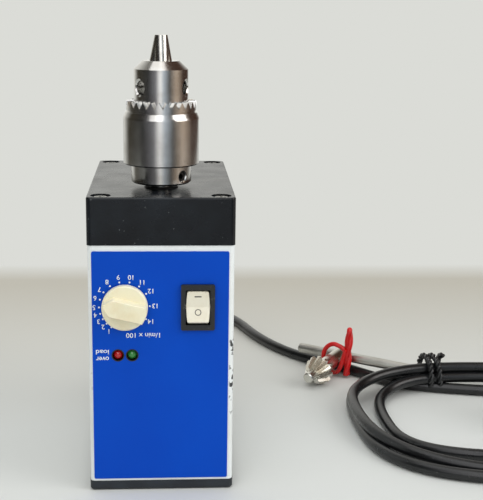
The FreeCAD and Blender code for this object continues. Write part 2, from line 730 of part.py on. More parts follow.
def plate_screws():
    screws = []
    low = PLATE_LOW - PLATE_SCREW_HEAD_HEIGHT
    for x, y in PLATE_SCREWS:
        head = post(PLATE_SCREW_HEAD_RADIUS, low, PLATE_LOW, x, y)
        shank = post(PLATE_SCREW_RADIUS, PLATE_LOW, PLATE_TOP + PLATE_SCREW_GRIP, x, y)
        slots = cross_slots(x, y, low + DRIVE_SLOT_DEPTH)
        screws.append(fused([head, shank]).cut(slots))
    return screws


def ball_bearing(bore, outer, low, width):
    """The two rings of a ball bearing with a shallow ball track in each."""
    inner_edge = bore + BEARING_RING_SHARE
    outer_edge = outer - BEARING_RING_SHARE
    middle = low + width / 2
    track_circle = (inner_edge + outer_edge) / 2
    ball = (outer_edge - inner_edge) / 2 + BEARING_RING_SHARE / 4
    track = Part.makeTorus(track_circle, ball, V(0, 0, middle))
    high = low + width
    outer_ring = ring(outer, outer_edge, low, high).cut(track)
    inner_ring = ring(inner_edge, bore + FIT, low, high).cut(track)
    for part in (outer_ring, inner_ring):
        part.translate(V(0, SPINDLE_Y, 0))
    return outer_ring, inner_ring


def shaft_seal():
    profile = [
        (SPINDLE_RADIUS + RUNNING, SEAL_LOW),
        (SEAL_RADIUS, SEAL_LOW),
        (SEAL_RADIUS, HEAD_TOP),
        (SEAL_RADIUS - SEAL_PROUD, HEAD_TOP + SEAL_PROUD),
        (SPINDLE_RADIUS + RUNNING, HEAD_TOP + SEAL_PROUD),
    ]
    seal = lathe(profile)
    seal.translate(V(0, SPINDLE_Y, 0))
    return seal


# Gears
def gear_outline(teeth, height, turn):
    """An involute spur gear's outline: each flank is one arc through three involute points."""
    pitch = GEAR_MODULE * teeth / 2
    base = pitch * math.cos(math.radians(PRESSURE_ANGLE))
    tip = pitch + TOOTH_ADDENDUM * GEAR_MODULE
    root = pitch - TOOTH_DEDENDUM * GEAR_MODULE
    half_tooth = math.pi / (2 * teeth) - BACKLASH / (2 * pitch)

    def involute(radius):
        pressure = math.acos(min(1.0, base / radius))
        return math.tan(pressure) - pressure

    start = max(base, root)
    middle = (start + tip) / 2

    def at(radius, angle):
        return V(radius * math.cos(angle), radius * math.sin(angle), height)

    def flank(radius):
        return half_tooth + involute(pitch) - involute(radius)

    curves = []
    step = 2 * math.pi / teeth
    for tooth in range(teeth):
        centre = math.radians(turn) + tooth * step
        foot, waist, crest = flank(start), flank(middle), flank(tip)
        if root < base:
            curves.append(
                Part.LineSegment(at(root, centre - foot), at(start, centre - foot)).toShape()
            )
        curves.append(
            Part.Arc(
                at(start, centre - foot), at(middle, centre - waist), at(tip, centre - crest)
            ).toShape()
        )
        curves.append(Part.LineSegment(at(tip, centre - crest), at(tip, centre + crest)).toShape())
        curves.append(
            Part.Arc(
                at(tip, centre + crest), at(middle, centre + waist), at(start, centre + foot)
            ).toShape()
        )
        if root < base:
            curves.append(
                Part.LineSegment(at(start, centre + foot), at(root, centre + foot)).toShape()
            )
        after = centre + step - foot
        low = root if root < base else start
        curves.append(Part.LineSegment(at(low, centre + foot), at(low, after)).toShape())
    return Part.Wire(curves)


def spindle_gear():
    wheel = Part.Face(gear_outline(GEAR_TEETH, GEAR_LOW, 90.0)).extrude(V(0, 0, GEAR_WIDTH))
    hub = post(GEAR_HUB_RADIUS, GEAR_HIGH, TOP_BEARING_LOW - EASY)
    bore = post(SPINDLE_RADIUS + FIT, GEAR_LOW - 1, TOP_BEARING_LOW + 1)
    gear = without(fused([wheel, hub]), [bore, key_block(FIT)])
    gear.translate(V(0, SPINDLE_Y, 0))
    return gear


def key_block(room):
    """The parallel key half sunk in the spindle, or with some room its keyway."""
    half = GEAR_KEY_SIDE / 2 + room
    return block(
        SPINDLE_RADIUS - half, SPINDLE_RADIUS + half, -half, half, GEAR_LOW - room, GEAR_HIGH + room
    )


def gear_key():
    key = key_block(0.0)
    key.translate(V(0, SPINDLE_Y, 0))
    return key


def motor_pinion():
    low = GEAR_LOW - PINION_OVERLAP
    turn = -90.0 + 180.0 / PINION_TEETH
    length = GEAR_WIDTH + 2 * PINION_OVERLAP
    wheel = Part.Face(gear_outline(PINION_TEETH, low, turn)).extrude(V(0, 0, length))
    pinion = wheel.cut(post(MOTOR_SHAFT_RADIUS + FIT, low - 1, low + length + 1))
    pinion.translate(V(0, MOTOR_Y, 0))
    return pinion


# Spindle
def spindle():
    foot = post(SPINDLE_FOOT_RADIUS, FOOT_BEARING_LOW, FOOT_BEARING_HIGH)
    shoulder = post(SPINDLE_RADIUS, FOOT_BEARING_HIGH, CHUCK_SOCKET_TOP - EASY)
    shaft = fused([foot, shoulder]).cut(key_block(FIT))
    shaft.translate(V(0, SPINDLE_Y, 0))
    return shaft


# Motor
def motor_can():
    inner = MOTOR_RADIUS - MOTOR_WALL
    low = MOTOR_LOW + MOTOR_BELL_HEIGHT
    can = post(MOTOR_RADIUS, low, MOTOR_TOP).cut(post(inner, low - 1, MOTOR_TOP - MOTOR_FACE))
    cuts = [post(MOTOR_BUSH_RADIUS + FIT, MOTOR_TOP - MOTOR_FACE - 1, MOTOR_TOP + 1)]
    for side in (-1, 1):
        x = side * MOTOR_SCREW_CIRCLE
        cuts.append(post(MOTOR_SCREW_RADIUS + FIT, MOTOR_TOP - MOTOR_FACE - 1, MOTOR_TOP + 1, x))
    can = without(can, cuts)
    can.translate(V(0, MOTOR_Y, 0))
    return can


def motor_end_bell():
    high = MOTOR_LOW + MOTOR_BELL_HEIGHT
    spigot = MOTOR_RADIUS - MOTOR_WALL - FIT
    bell = post(MOTOR_RADIUS, MOTOR_LOW, high).fuse(post(spigot, high, high + MOTOR_WALL))
    bell = bell.cut(post(MOTOR_BUSH_RADIUS + FIT, MOTOR_LOW - 1, high + MOTOR_WALL + 1))
    bell.translate(V(0, MOTOR_Y, 0))
    return bell.removeSplitter()


def motor_bushes():
    bushes = [
        ring(MOTOR_BUSH_RADIUS, MOTOR_SHAFT_RADIUS + RUNNING, low, low + MOTOR_BUSH_LENGTH)
        for low in (MOTOR_LOW, MOTOR_TOP - MOTOR_BUSH_LENGTH)
    ]
    for bush in bushes:
        bush.translate(V(0, MOTOR_Y, 0))
    return bushes


def motor_magnets():
    outer = MOTOR_RADIUS - MOTOR_WALL - FIT
    inner = ARMATURE_RADIUS + MAGNET_GAP
    low, high = armature_levels()
    magnets = []
    for side in (0, 180):
        arc = Part.makeCylinder(outer, high - low, V(0, 0, low), V(0, 0, 1), MAGNET_SPAN)
        arc = arc.cut(post(inner, low - 1, high + 1))
        arc.rotate(V(0, 0, 0), V(0, 0, 1), side - MAGNET_SPAN / 2)
        arc.translate(V(0, MOTOR_Y, 0))
        magnets.append(arc)
    return magnets


def armature_levels():
    high = MOTOR_TOP - MOTOR_BUSH_LENGTH - 2 * MOTOR_WALL
    return high - ARMATURE_LENGTH, high


def motor_armature():
    low, high = armature_levels()
    core = post(ARMATURE_RADIUS, low, high)
    slots = []
    for i in range(ARMATURE_SLOTS):
        inner = ARMATURE_RADIUS - ARMATURE_SLOT_DEPTH
        half = ARMATURE_SLOT_WIDTH / 2
        slot = block(inner, ARMATURE_RADIUS + 1, -half, half, low - 1, high + 1)
        slot.rotate(V(0, 0, 0), V(0, 0, 1), i * 360 / ARMATURE_SLOTS)
        slots.append(slot)
    core = without(core, slots + [post(MOTOR_SHAFT_RADIUS + FIT, low - 1, high + 1)])
    core.translate(V(0, MOTOR_Y, 0))
    return core


def commutator_levels():
    high = armature_levels()[0] - MOTOR_WALL
    return high - COMMUTATOR_LENGTH, high


def motor_commutator():
    low, high = commutator_levels()
    return ring(COMMUTATOR_RADIUS, MOTOR_SHAFT_RADIUS + FIT, low, high, 0.0, MOTOR_Y)


def motor_shaft():
    high = GEAR_HIGH + PINION_OVERLAP
    return post(MOTOR_SHAFT_RADIUS, MOTOR_LOW, high, 0.0, MOTOR_Y)


def motor_brushes():
    low, high = commutator_levels()
    brushes = []
    for side in (-1, 1):
        near = side * (COMMUTATOR_RADIUS + RUNNING)
        far = side * (MOTOR_RADIUS - MOTOR_WALL - EASY)
        brushes.append(
            block(min(near, far), max(near, far), MOTOR_Y - 2, MOTOR_Y + 2, low + 1, high - 1)
        )
    return brushes


def motor_screws():
    screws = []
    for side in (-1, 1):
        x = side * MOTOR_SCREW_CIRCLE
        shank = post(MOTOR_SCREW_RADIUS, MOTOR_TOP - MOTOR_FACE, PLATE_TOP, x, MOTOR_Y)
        top = PLATE_TOP + PLATE_SCREW_HEAD_HEIGHT
        head = post(PLATE_SCREW_HEAD_RADIUS, PLATE_TOP, top, x, MOTOR_Y)
        screws.append(fused([shank, head]).cut(cross_slots(x, MOTOR_Y, top)))
    return screws


# Control board and the parts on it
BOARD_FRONT = WALL_FRONT_INSIDE + STANDOFF_LENGTH
BOARD_BACK = BOARD_FRONT + BOARD_THICKNESS
BOARD_HOLES = [
    (side * (BOARD_WIDTH / 2 - STANDOFF_INSET_X), z)
    for side in (-1, 1)
    for z in (BOARD_LOW + STANDOFF_INSET_Z, BOARD_HIGH - STANDOFF_INSET_Z)
]


def circuit_board():
    half = BOARD_WIDTH / 2
    board = block(-half, half, BOARD_FRONT, BOARD_BACK, BOARD_LOW, BOARD_HIGH)
    holes = [
        bar_along_y(BOARD_SCREW_RADIUS + FIT, BOARD_FRONT - 1, BOARD_BACK + 1, x, z)
        for x, z in BOARD_HOLES
    ]
    return without(board, holes)


def board_standoffs():
    return [
        bar_along_y(STANDOFF_RADIUS, WALL_FRONT_INSIDE, BOARD_FRONT, x, z).cut(
            bar_along_y(BOARD_SCREW_RADIUS + FIT, BOARD_FRONT - 5, BOARD_FRONT + 1, x, z)
        )
        for x, z in BOARD_HOLES
    ]


def board_screws():
    screws = []
    for x, z in BOARD_HOLES:
        shank = bar_along_y(BOARD_SCREW_RADIUS, BOARD_FRONT - 4, BOARD_BACK, x, z)
        back = BOARD_BACK + BOARD_SCREW_HEAD_HEIGHT
        head = bar_along_y(BOARD_SCREW_HEAD_RADIUS, BOARD_BACK, back, x, z)
        screws.append(fused([shank, head]))
    return screws


def transformer():
    """A small board transformer: laminated core with the bobbin standing out of both faces."""
    half = BOARD_WIDTH / 2 - TRANSFORMER_MARGIN
    front = BOARD_BACK + TRANSFORMER_STAND_OFF
    back = front + TRANSFORMER_DEPTH
    low = BOARD_LOW + TRANSFORMER_ABOVE_EDGE
    high = low + TRANSFORMER_HEIGHT
    core = block(-half, half, front, back, low, high)
    half = half - BOBBIN_INSET_X
    low, high = low + BOBBIN_INSET_Z, high - BOBBIN_INSET_Z
    bobbin = block(-half, half, BOARD_BACK, back + TRANSFORMER_STAND_OFF, low, high)
    return fused([core, bobbin])


MAIN_CAPACITOR_X = -BOARD_WIDTH / 2 + MAIN_CAPACITOR_FROM_SIDE
SMALL_CAPACITOR_X = (
    MAIN_CAPACITOR_X + MAIN_CAPACITOR_RADIUS + CAPACITOR_SPACE + SMALL_CAPACITOR_RADIUS
)


def capacitors():
    z = BOARD_HIGH - MAIN_CAPACITOR_FROM_TOP
    back = BOARD_BACK + MAIN_CAPACITOR_LENGTH
    big = bar_along_y(MAIN_CAPACITOR_RADIUS, BOARD_BACK, back, MAIN_CAPACITOR_X, z)
    back = BOARD_BACK + SMALL_CAPACITOR_LENGTH
    small = bar_along_y(SMALL_CAPACITOR_RADIUS, BOARD_BACK, back, SMALL_CAPACITOR_X, z)
    left = -BOARD_WIDTH / 2 + FILM_CAPACITOR_FROM_SIDE
    low = BOARD_LOW + TRANSFORMER_ABOVE_EDGE + BOBBIN_INSET_Z
    film = block(
        left, left + FILM_CAPACITOR_WIDTH, BOARD_BACK, BOARD_BACK + FILM_CAPACITOR_LENGTH,
        low, low + FILM_CAPACITOR_HEIGHT,
    )
    return [big, small, film]


def heat_sink():
    """A finned heat sink with the power transistor clamped to its foot."""
    left = SMALL_CAPACITOR_X + SMALL_CAPACITOR_RADIUS + HEAT_SINK_SPACE
    right = BOARD_WIDTH / 2 - HEAT_SINK_FROM_SIDE
    high = BOARD_HIGH - HEAT_SINK_FROM_TOP
    low = high - HEAT_SINK_HEIGHT
    inner, outer = BOARD_BACK + HEAT_SINK_FOOT, BOARD_BACK + HEAT_SINK_DEPTH
    foot = block(left, right, BOARD_BACK, inner, low, high)
    spacing = (right - left - HEAT_SINK_FIN_THICKNESS) / (HEAT_SINK_FINS - 1)
    fins = []
    for i in range(HEAT_SINK_FINS):
        x = left + i * spacing
        fins.append(block(x, x + HEAT_SINK_FIN_THICKNESS, inner, outer, low, high))
    return fused([foot] + fins)


def terminal_block():
    hole_x = BOARD_WIDTH / 2 - STANDOFF_INSET_X
    half = hole_x - BOARD_SCREW_HEAD_RADIUS - TERMINAL_BLOCK_SPACE
    low = BOARD_LOW + TERMINAL_BLOCK_FROM_EDGE
    high = low + TERMINAL_BLOCK_HEIGHT
    front, back = BOARD_BACK + TERMINAL_BLOCK_FLOOR, BOARD_BACK + TERMINAL_BLOCK_DEPTH
    body = block(-half, half, BOARD_BACK, back, low, high)
    pitch = 2 * half / TERMINAL_BLOCK_WAYS
    middle = (low + high) / 2
    holes = [
        bar_along_y(TERMINAL_BLOCK_HOLE_RADIUS, front, back + 1, -half + (i + 0.5) * pitch, middle)
        for i in range(TERMINAL_BLOCK_WAYS)
    ]
    return without(body, holes)


# Potentiometer and speed knob
def potentiometer():
    front = WALL_FRONT_INSIDE
    body = bar_along_y(POT_BODY_RADIUS, front, front + POT_BODY_DEPTH, KNOB_X, KNOB_Z)
    bush_front = PANEL_FRONT - POT_NUT_THICKNESS
    bush = bar_along_y(POT_BUSH_RADIUS, bush_front, front, KNOB_X, KNOB_Z)
    half = POT_TAG_WIDTH / 2
    tag_front = front + POT_TAG_SETBACK
    edge = KNOB_Z - POT_BODY_RADIUS
    tags = block(
        KNOB_X - half, KNOB_X + half, tag_front, tag_front + POT_TAG_THICKNESS,
        edge - POT_TAG_LENGTH, KNOB_Z,
    )
    bore_back = front + POT_SHAFT_REACH + EASY
    bore = bar_along_y(POT_SHAFT_RADIUS + RUNNING, bush_front - 1, bore_back, KNOB_X, KNOB_Z)
    return fused([body, bush, tags]).cut(bore)


def potentiometer_nut():
    nut = hexagon(POT_NUT_FLATS, 0.0, POT_NUT_THICKNESS)
    nut = nut.cut(post(POT_BUSH_RADIUS + FIT, -1, POT_NUT_THICKNESS + 1))
    return facing_back(nut, KNOB_X, PANEL_FRONT - POT_NUT_THICKNESS, KNOB_Z)


KNOB_BACK = PANEL_FRONT - KNOB_GAP
KNOB_SKIRT_FRONT = KNOB_BACK - KNOB_SKIRT
KNOB_FRONT = KNOB_SKIRT_FRONT - KNOB_GRIP_HEIGHT


def potentiometer_shaft():
    front = KNOB_SKIRT_FRONT - POT_SHAFT_IN_KNOB / 2
    back = WALL_FRONT_INSIDE + POT_SHAFT_REACH
    return bar_along_y(POT_SHAFT_RADIUS, front, back, KNOB_X, KNOB_Z)


def speed_knob():
    """A disc with a pointer grip across it, made facing up and then turned to the front."""
    high = KNOB_BACK - KNOB_FRONT
    disc = post(KNOB_RADIUS, 0.0, KNOB_SKIRT)
    rim = [edge for edge in disc.Edges if abs(edge.CenterOfMass.z - KNOB_SKIRT) < 1e-6]
    disc = disc.makeChamfer(KNOB_CHAMFER, rim)
    half, point = KNOB_GRIP_WIDTH / 2, KNOB_POINT_WIDTH / 2
    reach = KNOB_RADIUS - KNOB_CHAMFER
    tail = math.sqrt(reach**2 - half**2)
    tip = math.sqrt(reach**2 - point**2)
    sides = [
        Part.LineSegment(V(-tip, point, 0), V(-KNOB_SHOULDER, half, 0)),
        Part.LineSegment(V(-KNOB_SHOULDER, half, 0), V(tail, half, 0)),
        Part.Arc(V(tail, half, 0), V(reach, 0, 0), V(tail, -half, 0)),
        Part.LineSegment(V(tail, -half, 0), V(-KNOB_SHOULDER, -half, 0)),
        Part.LineSegment(V(-KNOB_SHOULDER, -half, 0), V(-tip, -point, 0)),
        Part.Arc(V(-tip, -point, 0), V(-reach, 0, 0), V(-tip, point, 0)),
    ]
    grip = Part.Face(Part.Wire([side.toShape() for side in sides])).extrude(V(0, 0, high))
    edges = [edge for edge in grip.Edges if abs(edge.CenterOfMass.z - high) < 1e-6]
    grip = grip.makeChamfer(KNOB_GRIP_CHAMFER, edges)
    knob = fused([disc, grip])
    cuts = [
        post(KNOB_RECESS_RADIUS, -1, KNOB_RECESS_DEPTH),
        post(POT_SHAFT_RADIUS + FIT, 0, KNOB_SKIRT + POT_SHAFT_IN_KNOB / 2 + EASY),
    ]
    knob = without(knob, cuts)
    knob.rotate(V(0, 0, 0), V(0, 0, 1), -KNOB_POINTER_TILT)
    knob.rotate(V(0, 0, 0), V(1, 0, 0), 90)
    knob.translate(V(KNOB_X, KNOB_BACK, KNOB_Z))
    return knob


# Rocker switch
PIVOT_Y = PANEL_FRONT - BEZEL_THICKNESS + ROCKER_PIVOT_DEPTH


def switch_body():
    half_width, half_height = BEZEL_WIDTH / 2, BEZEL_HEIGHT / 2
    front = PANEL_FRONT - BEZEL_THICKNESS
    bezel = upright_block(
        SWITCH_X - half_width, SWITCH_X + half_width,
        SWITCH_Z - half_height, SWITCH_Z + half_height,
        front, PANEL_FRONT, BEZEL_CORNER,
    )
    half_width, half_height = SWITCH_CASE_WIDTH / 2, SWITCH_CASE_HEIGHT / 2
    back = PANEL_FRONT + SWITCH_CASE_DEPTH
    case = block(
        SWITCH_X - half_width, SWITCH_X + half_width, PANEL_FRONT, back,
        SWITCH_Z - half_height, SWITCH_Z + half_height,
    )
    half_width, half_height = ROCKER_OPENING_WIDTH / 2, ROCKER_OPENING_HEIGHT / 2
    pocket = block(
        SWITCH_X - half_width, SWITCH_X + half_width, front - 1, front + ROCKER_POCKET_DEPTH,
        SWITCH_Z - half_height, SWITCH_Z + half_height,
    )
    reach = ROCKER_WIDTH / 2 + ROCKER_PIN_REACH + RUNNING
    pin_hole = Part.makeCylinder(
        ROCKER_PIN_RADIUS + RUNNING, 2 * reach, V(SWITCH_X - reach, PIVOT_Y, SWITCH_Z), V(1, 0, 0)
    )
    return without(fused([bezel, case]), [pocket, pin_hole])


def switch_terminals():
    back = PANEL_FRONT + SWITCH_CASE_DEPTH
    half = TERMINAL_WIDTH / 2
    aside = SWITCH_CASE_WIDTH / 2 - TERMINAL_INSET_X
    above = SWITCH_CASE_HEIGHT / 2 - TERMINAL_INSET_Z
    return [
        block(
            x - TERMINAL_THICKNESS / 2, x + TERMINAL_THICKNESS / 2, back, back + TERMINAL_LENGTH,
            z - half, z + half,
        )
        for x in (SWITCH_X - aside, SWITCH_X + aside)
        for z in (SWITCH_Z - above, SWITCH_Z + above)
    ]


def rocker_outline():
    """The rocker's outline seen from the front: wider in the middle, with rounded corners."""
    middle, end, length = ROCKER_WIDTH / 2, ROCKER_END_WIDTH / 2, ROCKER_HALF_LENGTH
    right = Part.Arc(V(end, 0, -length), V(middle, 0, 0), V(end, 0, length))
    left = Part.Arc(V(-end, 0, length), V(-middle, 0, 0), V(-end, 0, -length))
    top = Part.LineSegment(V(end, 0, length), V(-end, 0, length))
    bottom = Part.LineSegment(V(-end, 0, -length), V(end, 0, -length))
    wire = Part.Wire([curve.toShape() for curve in (right, top, left, bottom)])
    prism = Part.Face(wire).extrude(V(0, 2 * ROCKER_SWING, 0))
    prism.translate(V(0, -ROCKER_SWING, 0))
    upright = [edge for edge in prism.Edges if abs(edge.CenterOfMass.y) < 1e-6]
    return prism.makeFillet(ROCKER_CORNER, upright)


def rocker():
    """A shallow V of two pads on a pivot pin, resting with its upper pad pressed in."""
    half = ROCKER_WIDTH / 2
    front = -ROCKER_PIVOT_DEPTH
    side = [
        (front - ROCKER_CENTRE_PROUD, 0.0),
        (front - ROCKER_END_PROUD, ROCKER_HALF_LENGTH + 1.0),
        (ROCKER_BACK_DEPTH, ROCKER_HALF_LENGTH + 1.0),
        (ROCKER_BACK_DEPTH + 1.4, 0.0),
        (ROCKER_BACK_DEPTH, -ROCKER_HALF_LENGTH - 1.0),
        (front - ROCKER_END_PROUD, -ROCKER_HALF_LENGTH - 1.0),
    ]
    corners = [V(-half, y, z) for y, z in side]
    pad = Part.Face(Part.makePolygon(corners + corners[:1])).extrude(V(2 * half, 0, 0))
    sweep = Part.makeCylinder(ROCKER_SWING, 2 * half, V(-half, 0, 0), V(1, 0, 0))
    pad = pad.common(sweep).common(rocker_outline())
    reach = half + ROCKER_PIN_REACH
    pin = Part.makeCylinder(ROCKER_PIN_RADIUS, 2 * reach, V(-reach, 0, 0), V(1, 0, 0))
    whole = fused([pad, pin])
    whole.rotate(V(0, 0, 0), V(1, 0, 0), -ROCKER_TILT)
    whole.translate(V(SWITCH_X, PIVOT_Y, SWITCH_Z))
    return whole


# Indicator lamps
LED_DOME_CENTRE = PANEL_FRONT + LED_RECESS + LED_RADIUS
LED_BACK = LED_DOME_CENTRE + LED_LENGTH + LED_FLANGE_THICKNESS


def indicator(x):
    flange = bar_along_y(LED_FLANGE_RADIUS, LED_BACK - LED_FLANGE_THICKNESS, LED_BACK, x, LED_Z)
    body = bar_along_y(LED_RADIUS, LED_DOME_CENTRE, LED_BACK, x, LED_Z)
    dome = Part.makeSphere(LED_RADIUS, V(x, LED_DOME_CENTRE, LED_Z))
    half = LED_LEAD_WIDTH / 2
    leads = [
        block(lead - half, lead + half, LED_BACK, BOARD_FRONT, LED_Z - half, LED_Z + half)
        for lead in (x - LED_LEAD_SPACING / 2, x + LED_LEAD_SPACING / 2)
    ]
    return fused([flange, body, dome] + leads)


def led_bezels():
    bezels = []
    back = LED_BACK - LED_FLANGE_THICKNESS
    front = PANEL_FRONT - LED_BEZEL_PROUD
    for x in (RED_LED_X, GREEN_LED_X):
        barrel = bar_along_y(LED_BEZEL_RADIUS, front, back, x, LED_Z)
        bore = bar_along_y(LED_RADIUS + FIT, front - 1, back + 1, x, LED_Z)
        bezels.append(barrel.cut(bore))
    return bezels


# Rod socket and gland on the back
def rod_socket():
    half_width, half_height = ROD_FLANGE_WIDTH / 2, ROD_FLANGE_HEIGHT / 2
    back = WALL_BACK_INSIDE
    flange = block(
        -half_width, half_width, back - ROD_FLANGE_THICKNESS, back,
        ROD_SOCKET_Z - half_height, ROD_SOCKET_Z + half_height,
    )
    mouth = WALL_BACK + ROD_SOCKET_PROUD
    boss = bar_along_y(ROD_SOCKET_RADIUS, mouth - ROD_SOCKET_DEPTH, mouth, 0.0, ROD_SOCKET_Z)
    cuts = [
        bar_along_y(
            ROD_THREAD_RADIUS, mouth - ROD_SOCKET_DEPTH - 1, mouth + 1, 0.0, ROD_SOCKET_Z
        )
    ]
    for x in (-ROD_SCREW_SPACING / 2, ROD_SCREW_SPACING / 2):
        cuts.append(
            bar_along_y(
                ROD_SCREW_RADIUS + FIT, back - ROD_FLANGE_THICKNESS - 1, back + 1, x, ROD_SOCKET_Z
            )
        )
    return without(fused([flange, boss]), cuts)


def rod_socket_screws():
    screws = []
    for x in (-ROD_SCREW_SPACING / 2, ROD_SCREW_SPACING / 2):
        head_front = WALL_BACK - ROD_SCREW_HEAD_HEIGHT
        head = cone_along_y(
            ROD_SCREW_RADIUS, ROD_SCREW_HEAD_RADIUS, head_front, WALL_BACK, x, ROD_SOCKET_Z
        )
        front = WALL_BACK_INSIDE - ROD_FLANGE_THICKNESS
        shank = bar_along_y(ROD_SCREW_RADIUS, front, WALL_BACK, x, ROD_SOCKET_Z)
        half, wide = DRIVE_SLOT_LENGTH / 2, DRIVE_SLOT_WIDTH / 2
        y0 = WALL_BACK - DRIVE_SLOT_DEPTH
        level = block(x - half, x + half, y0, WALL_BACK, ROD_SOCKET_Z - wide, ROD_SOCKET_Z + wide)
        upright = block(x - wide, x + wide, y0, WALL_BACK, ROD_SOCKET_Z - half, ROD_SOCKET_Z + half)
        screws.append(fused([head, shank]).cut(level.fuse(upright)))
    return screws


def cord_gland():
    nut_front = WALL_BACK_INSIDE - GLAND_NUT_THICKNESS
    thread = bar_along_y(GLAND_THREAD_RADIUS, nut_front, WALL_BACK, GLAND_X, GLAND_Z)
    flange_back = WALL_BACK + GLAND_FLANGE
    flange = bar_along_y(GLAND_FLANGE_RADIUS, WALL_BACK, flange_back, GLAND_X, GLAND_Z)
    boot_back = flange_back + GLAND_BOOT_LENGTH
    boot = cone_along_y(
        GLAND_BOOT_RADIUS, GLAND_BOOT_END_RADIUS, flange_back, boot_back, GLAND_X, GLAND_Z
    )
    bore = bar_along_y(CORD_RADIUS + FIT, nut_front - 1, boot_back + 1, GLAND_X, GLAND_Z)
    return fused([thread, flange, boot]).cut(bore)


def gland_nut():
    nut = hexagon(GLAND_NUT_FLATS, 0.0, GLAND_NUT_THICKNESS)
    nut = nut.cut(post(GLAND_THREAD_RADIUS + FIT, -1, GLAND_NUT_THICKNESS + 1))
    return facing_back(nut, GLAND_X, WALL_BACK_INSIDE - GLAND_NUT_THICKNESS, GLAND_Z)


# Chuck, made on the Z axis from the height of its base and then set on the spindle
def on_spindle(shape):
    shape.translate(V(0, SPINDLE_Y, 0))
    return shape


def at_azimuth(shape, azimuth):
    """Turns a shape made towards the front, -Y, by an azimuth that grows towards +X."""
    shape.rotate(V(0, 0, 0), V(0, 0, 1), azimuth)
    return shape


def radial_pin(radius, inner, outer, height):
    return Part.makeCylinder(radius, outer - inner, V(0, -inner, height), V(0, -1, 0))


def jaw_axis_radius(height):
    """Distance of a closed jaw's axis from the chuck's axis at a height."""
    lean = math.radians(JAW_LEAN)
    at_tip = JAW_TIP_RADIUS - JAW_RADIUS / math.cos(lean)
    return at_tip + (CHUCK_TOP + JAW_REACH - height) * math.tan(lean)


def jaw_rod(radius, low, high):
    """A leaning rod towards the front, from one height to another along the jaw's axis."""
    foot = V(0, -jaw_axis_radius(low), low)
    head = V(0, -jaw_axis_radius(high), high)
    return Part.makeCylinder(radius, (head - foot).Length, foot, head - foot)


def jaw_azimuths():
    return [JAW_AZIMUTH + i * 360 / JAW_COUNT for i in range(JAW_COUNT)]


def chuck_body():
    base, top = CHUCK_BASE, CHUCK_TOP
    chamfer = 0.8
    profile = [
        (0, base),
        (COLLAR_RADIUS - chamfer, base),
        (COLLAR_RADIUS, base + chamfer),
        (COLLAR_RADIUS, base + COLLAR_HEIGHT + SLEEVE_LIP),
        (BODY_MID_RADIUS, base + COLLAR_HEIGHT + SLEEVE_LIP),
        (BODY_MID_RADIUS, base + NUT_LOW - EASY),
        (BODY_CORE_RADIUS, base + NUT_LOW - EASY),
        (BODY_CORE_RADIUS, base + NUT_HIGH + EASY),
        (NOSE_RADIUS, base + NUT_HIGH + EASY),
        (NOSE_RADIUS, top - NOSE_CONE),
        (NOSE_TIP_RADIUS, top),
        (0, top),
    ]
    body = lathe(profile)
    cuts = [post(SPINDLE_RADIUS + FIT, base - 1, CHUCK_SOCKET_TOP)]
    cuts.append(post(CHUCK_BORE_RADIUS, base + COLLAR_HEIGHT + 8, top + 1))
    low = base + SLEEVE_FROM_BASE + SLEEVE_LIP
    for azimuth in jaw_azimuths():
        cuts.append(at_azimuth(jaw_rod(JAW_RADIUS + RUNNING, low, top + 12), azimuth))
    height = base + KEY_HOLE_HEIGHT
    bevel = KEY_HOLE_MOUTH_RADIUS - KEY_HOLE_RADIUS
    for i in range(JAW_COUNT):
        azimuth = KEY_HOLE_AZIMUTH + i * 360 / JAW_COUNT
        hole = radial_pin(KEY_HOLE_RADIUS, KEY_HOLE_BOTTOM_RADIUS, NOSE_RADIUS + 1, height)
        cuts.append(at_azimuth(hole, azimuth))
        reach = NOSE_RADIUS - KEY_HOLE_RADIUS**2 / (2 * NOSE_RADIUS)
        mouth = Part.makeCone(
            KEY_HOLE_RADIUS, KEY_HOLE_MOUTH_RADIUS + 1, bevel + 1, V(0, -reach + bevel, height), V(0, -1, 0)
        )
        cuts.append(at_azimuth(mouth, azimuth))
    height = base + SET_SCREW_HEIGHT
    screw_hole = radial_pin(SET_SCREW_RADIUS + FIT, 0.0, COLLAR_RADIUS + 1, height)
    cuts.append(at_azimuth(screw_hole, SET_SCREW_AZIMUTH))
    bevel = SET_SCREW_MOUTH_RADIUS - SET_SCREW_RADIUS
    mouth = Part.makeCone(
        SET_SCREW_RADIUS, SET_SCREW_MOUTH_RADIUS + 1, bevel + 1,
        V(0, -COLLAR_RADIUS + bevel, height), V(0, -1, 0),
    )
    cuts.append(at_azimuth(mouth, SET_SCREW_AZIMUTH))
    return on_spindle(without(body, cuts))


def chuck_set_screw():
    height = CHUCK_BASE + SET_SCREW_HEIGHT
    outer = COLLAR_RADIUS - SET_SCREW_SUNK
    screw = radial_pin(SET_SCREW_RADIUS, SPINDLE_RADIUS + RUNNING, outer, height)
    socket = hexagon(HEX_SOCKET_FLATS, 0.0, HEX_SOCKET_DEPTH + 1)
    socket.rotate(V(0, 0, 0), V(1, 0, 0), 90)
    socket.translate(V(0, -outer + HEX_SOCKET_DEPTH, height))
    return on_spindle(at_azimuth(screw.cut(socket), SET_SCREW_AZIMUTH))


def rim_notch(outer, inner, top):
    """A V notch across the crown of the rim, narrower and shallower towards the axis."""
    def half_width(radius):
        return math.pi * radius / RIM_TEETH - RIM_CREST / 2

    def wedge(radius):
        half = half_width(radius)
        depth = RIM_TOOTH_DEPTH * half / half_width(outer)
        corners = [V(-half, -radius, top), V(half, -radius, top), V(0, -radius, top - depth)]
        return Part.makePolygon(corners + corners[:1])

    over = 0.5
    return Part.makeLoft([wedge(outer + over), wedge(inner - over)], True)


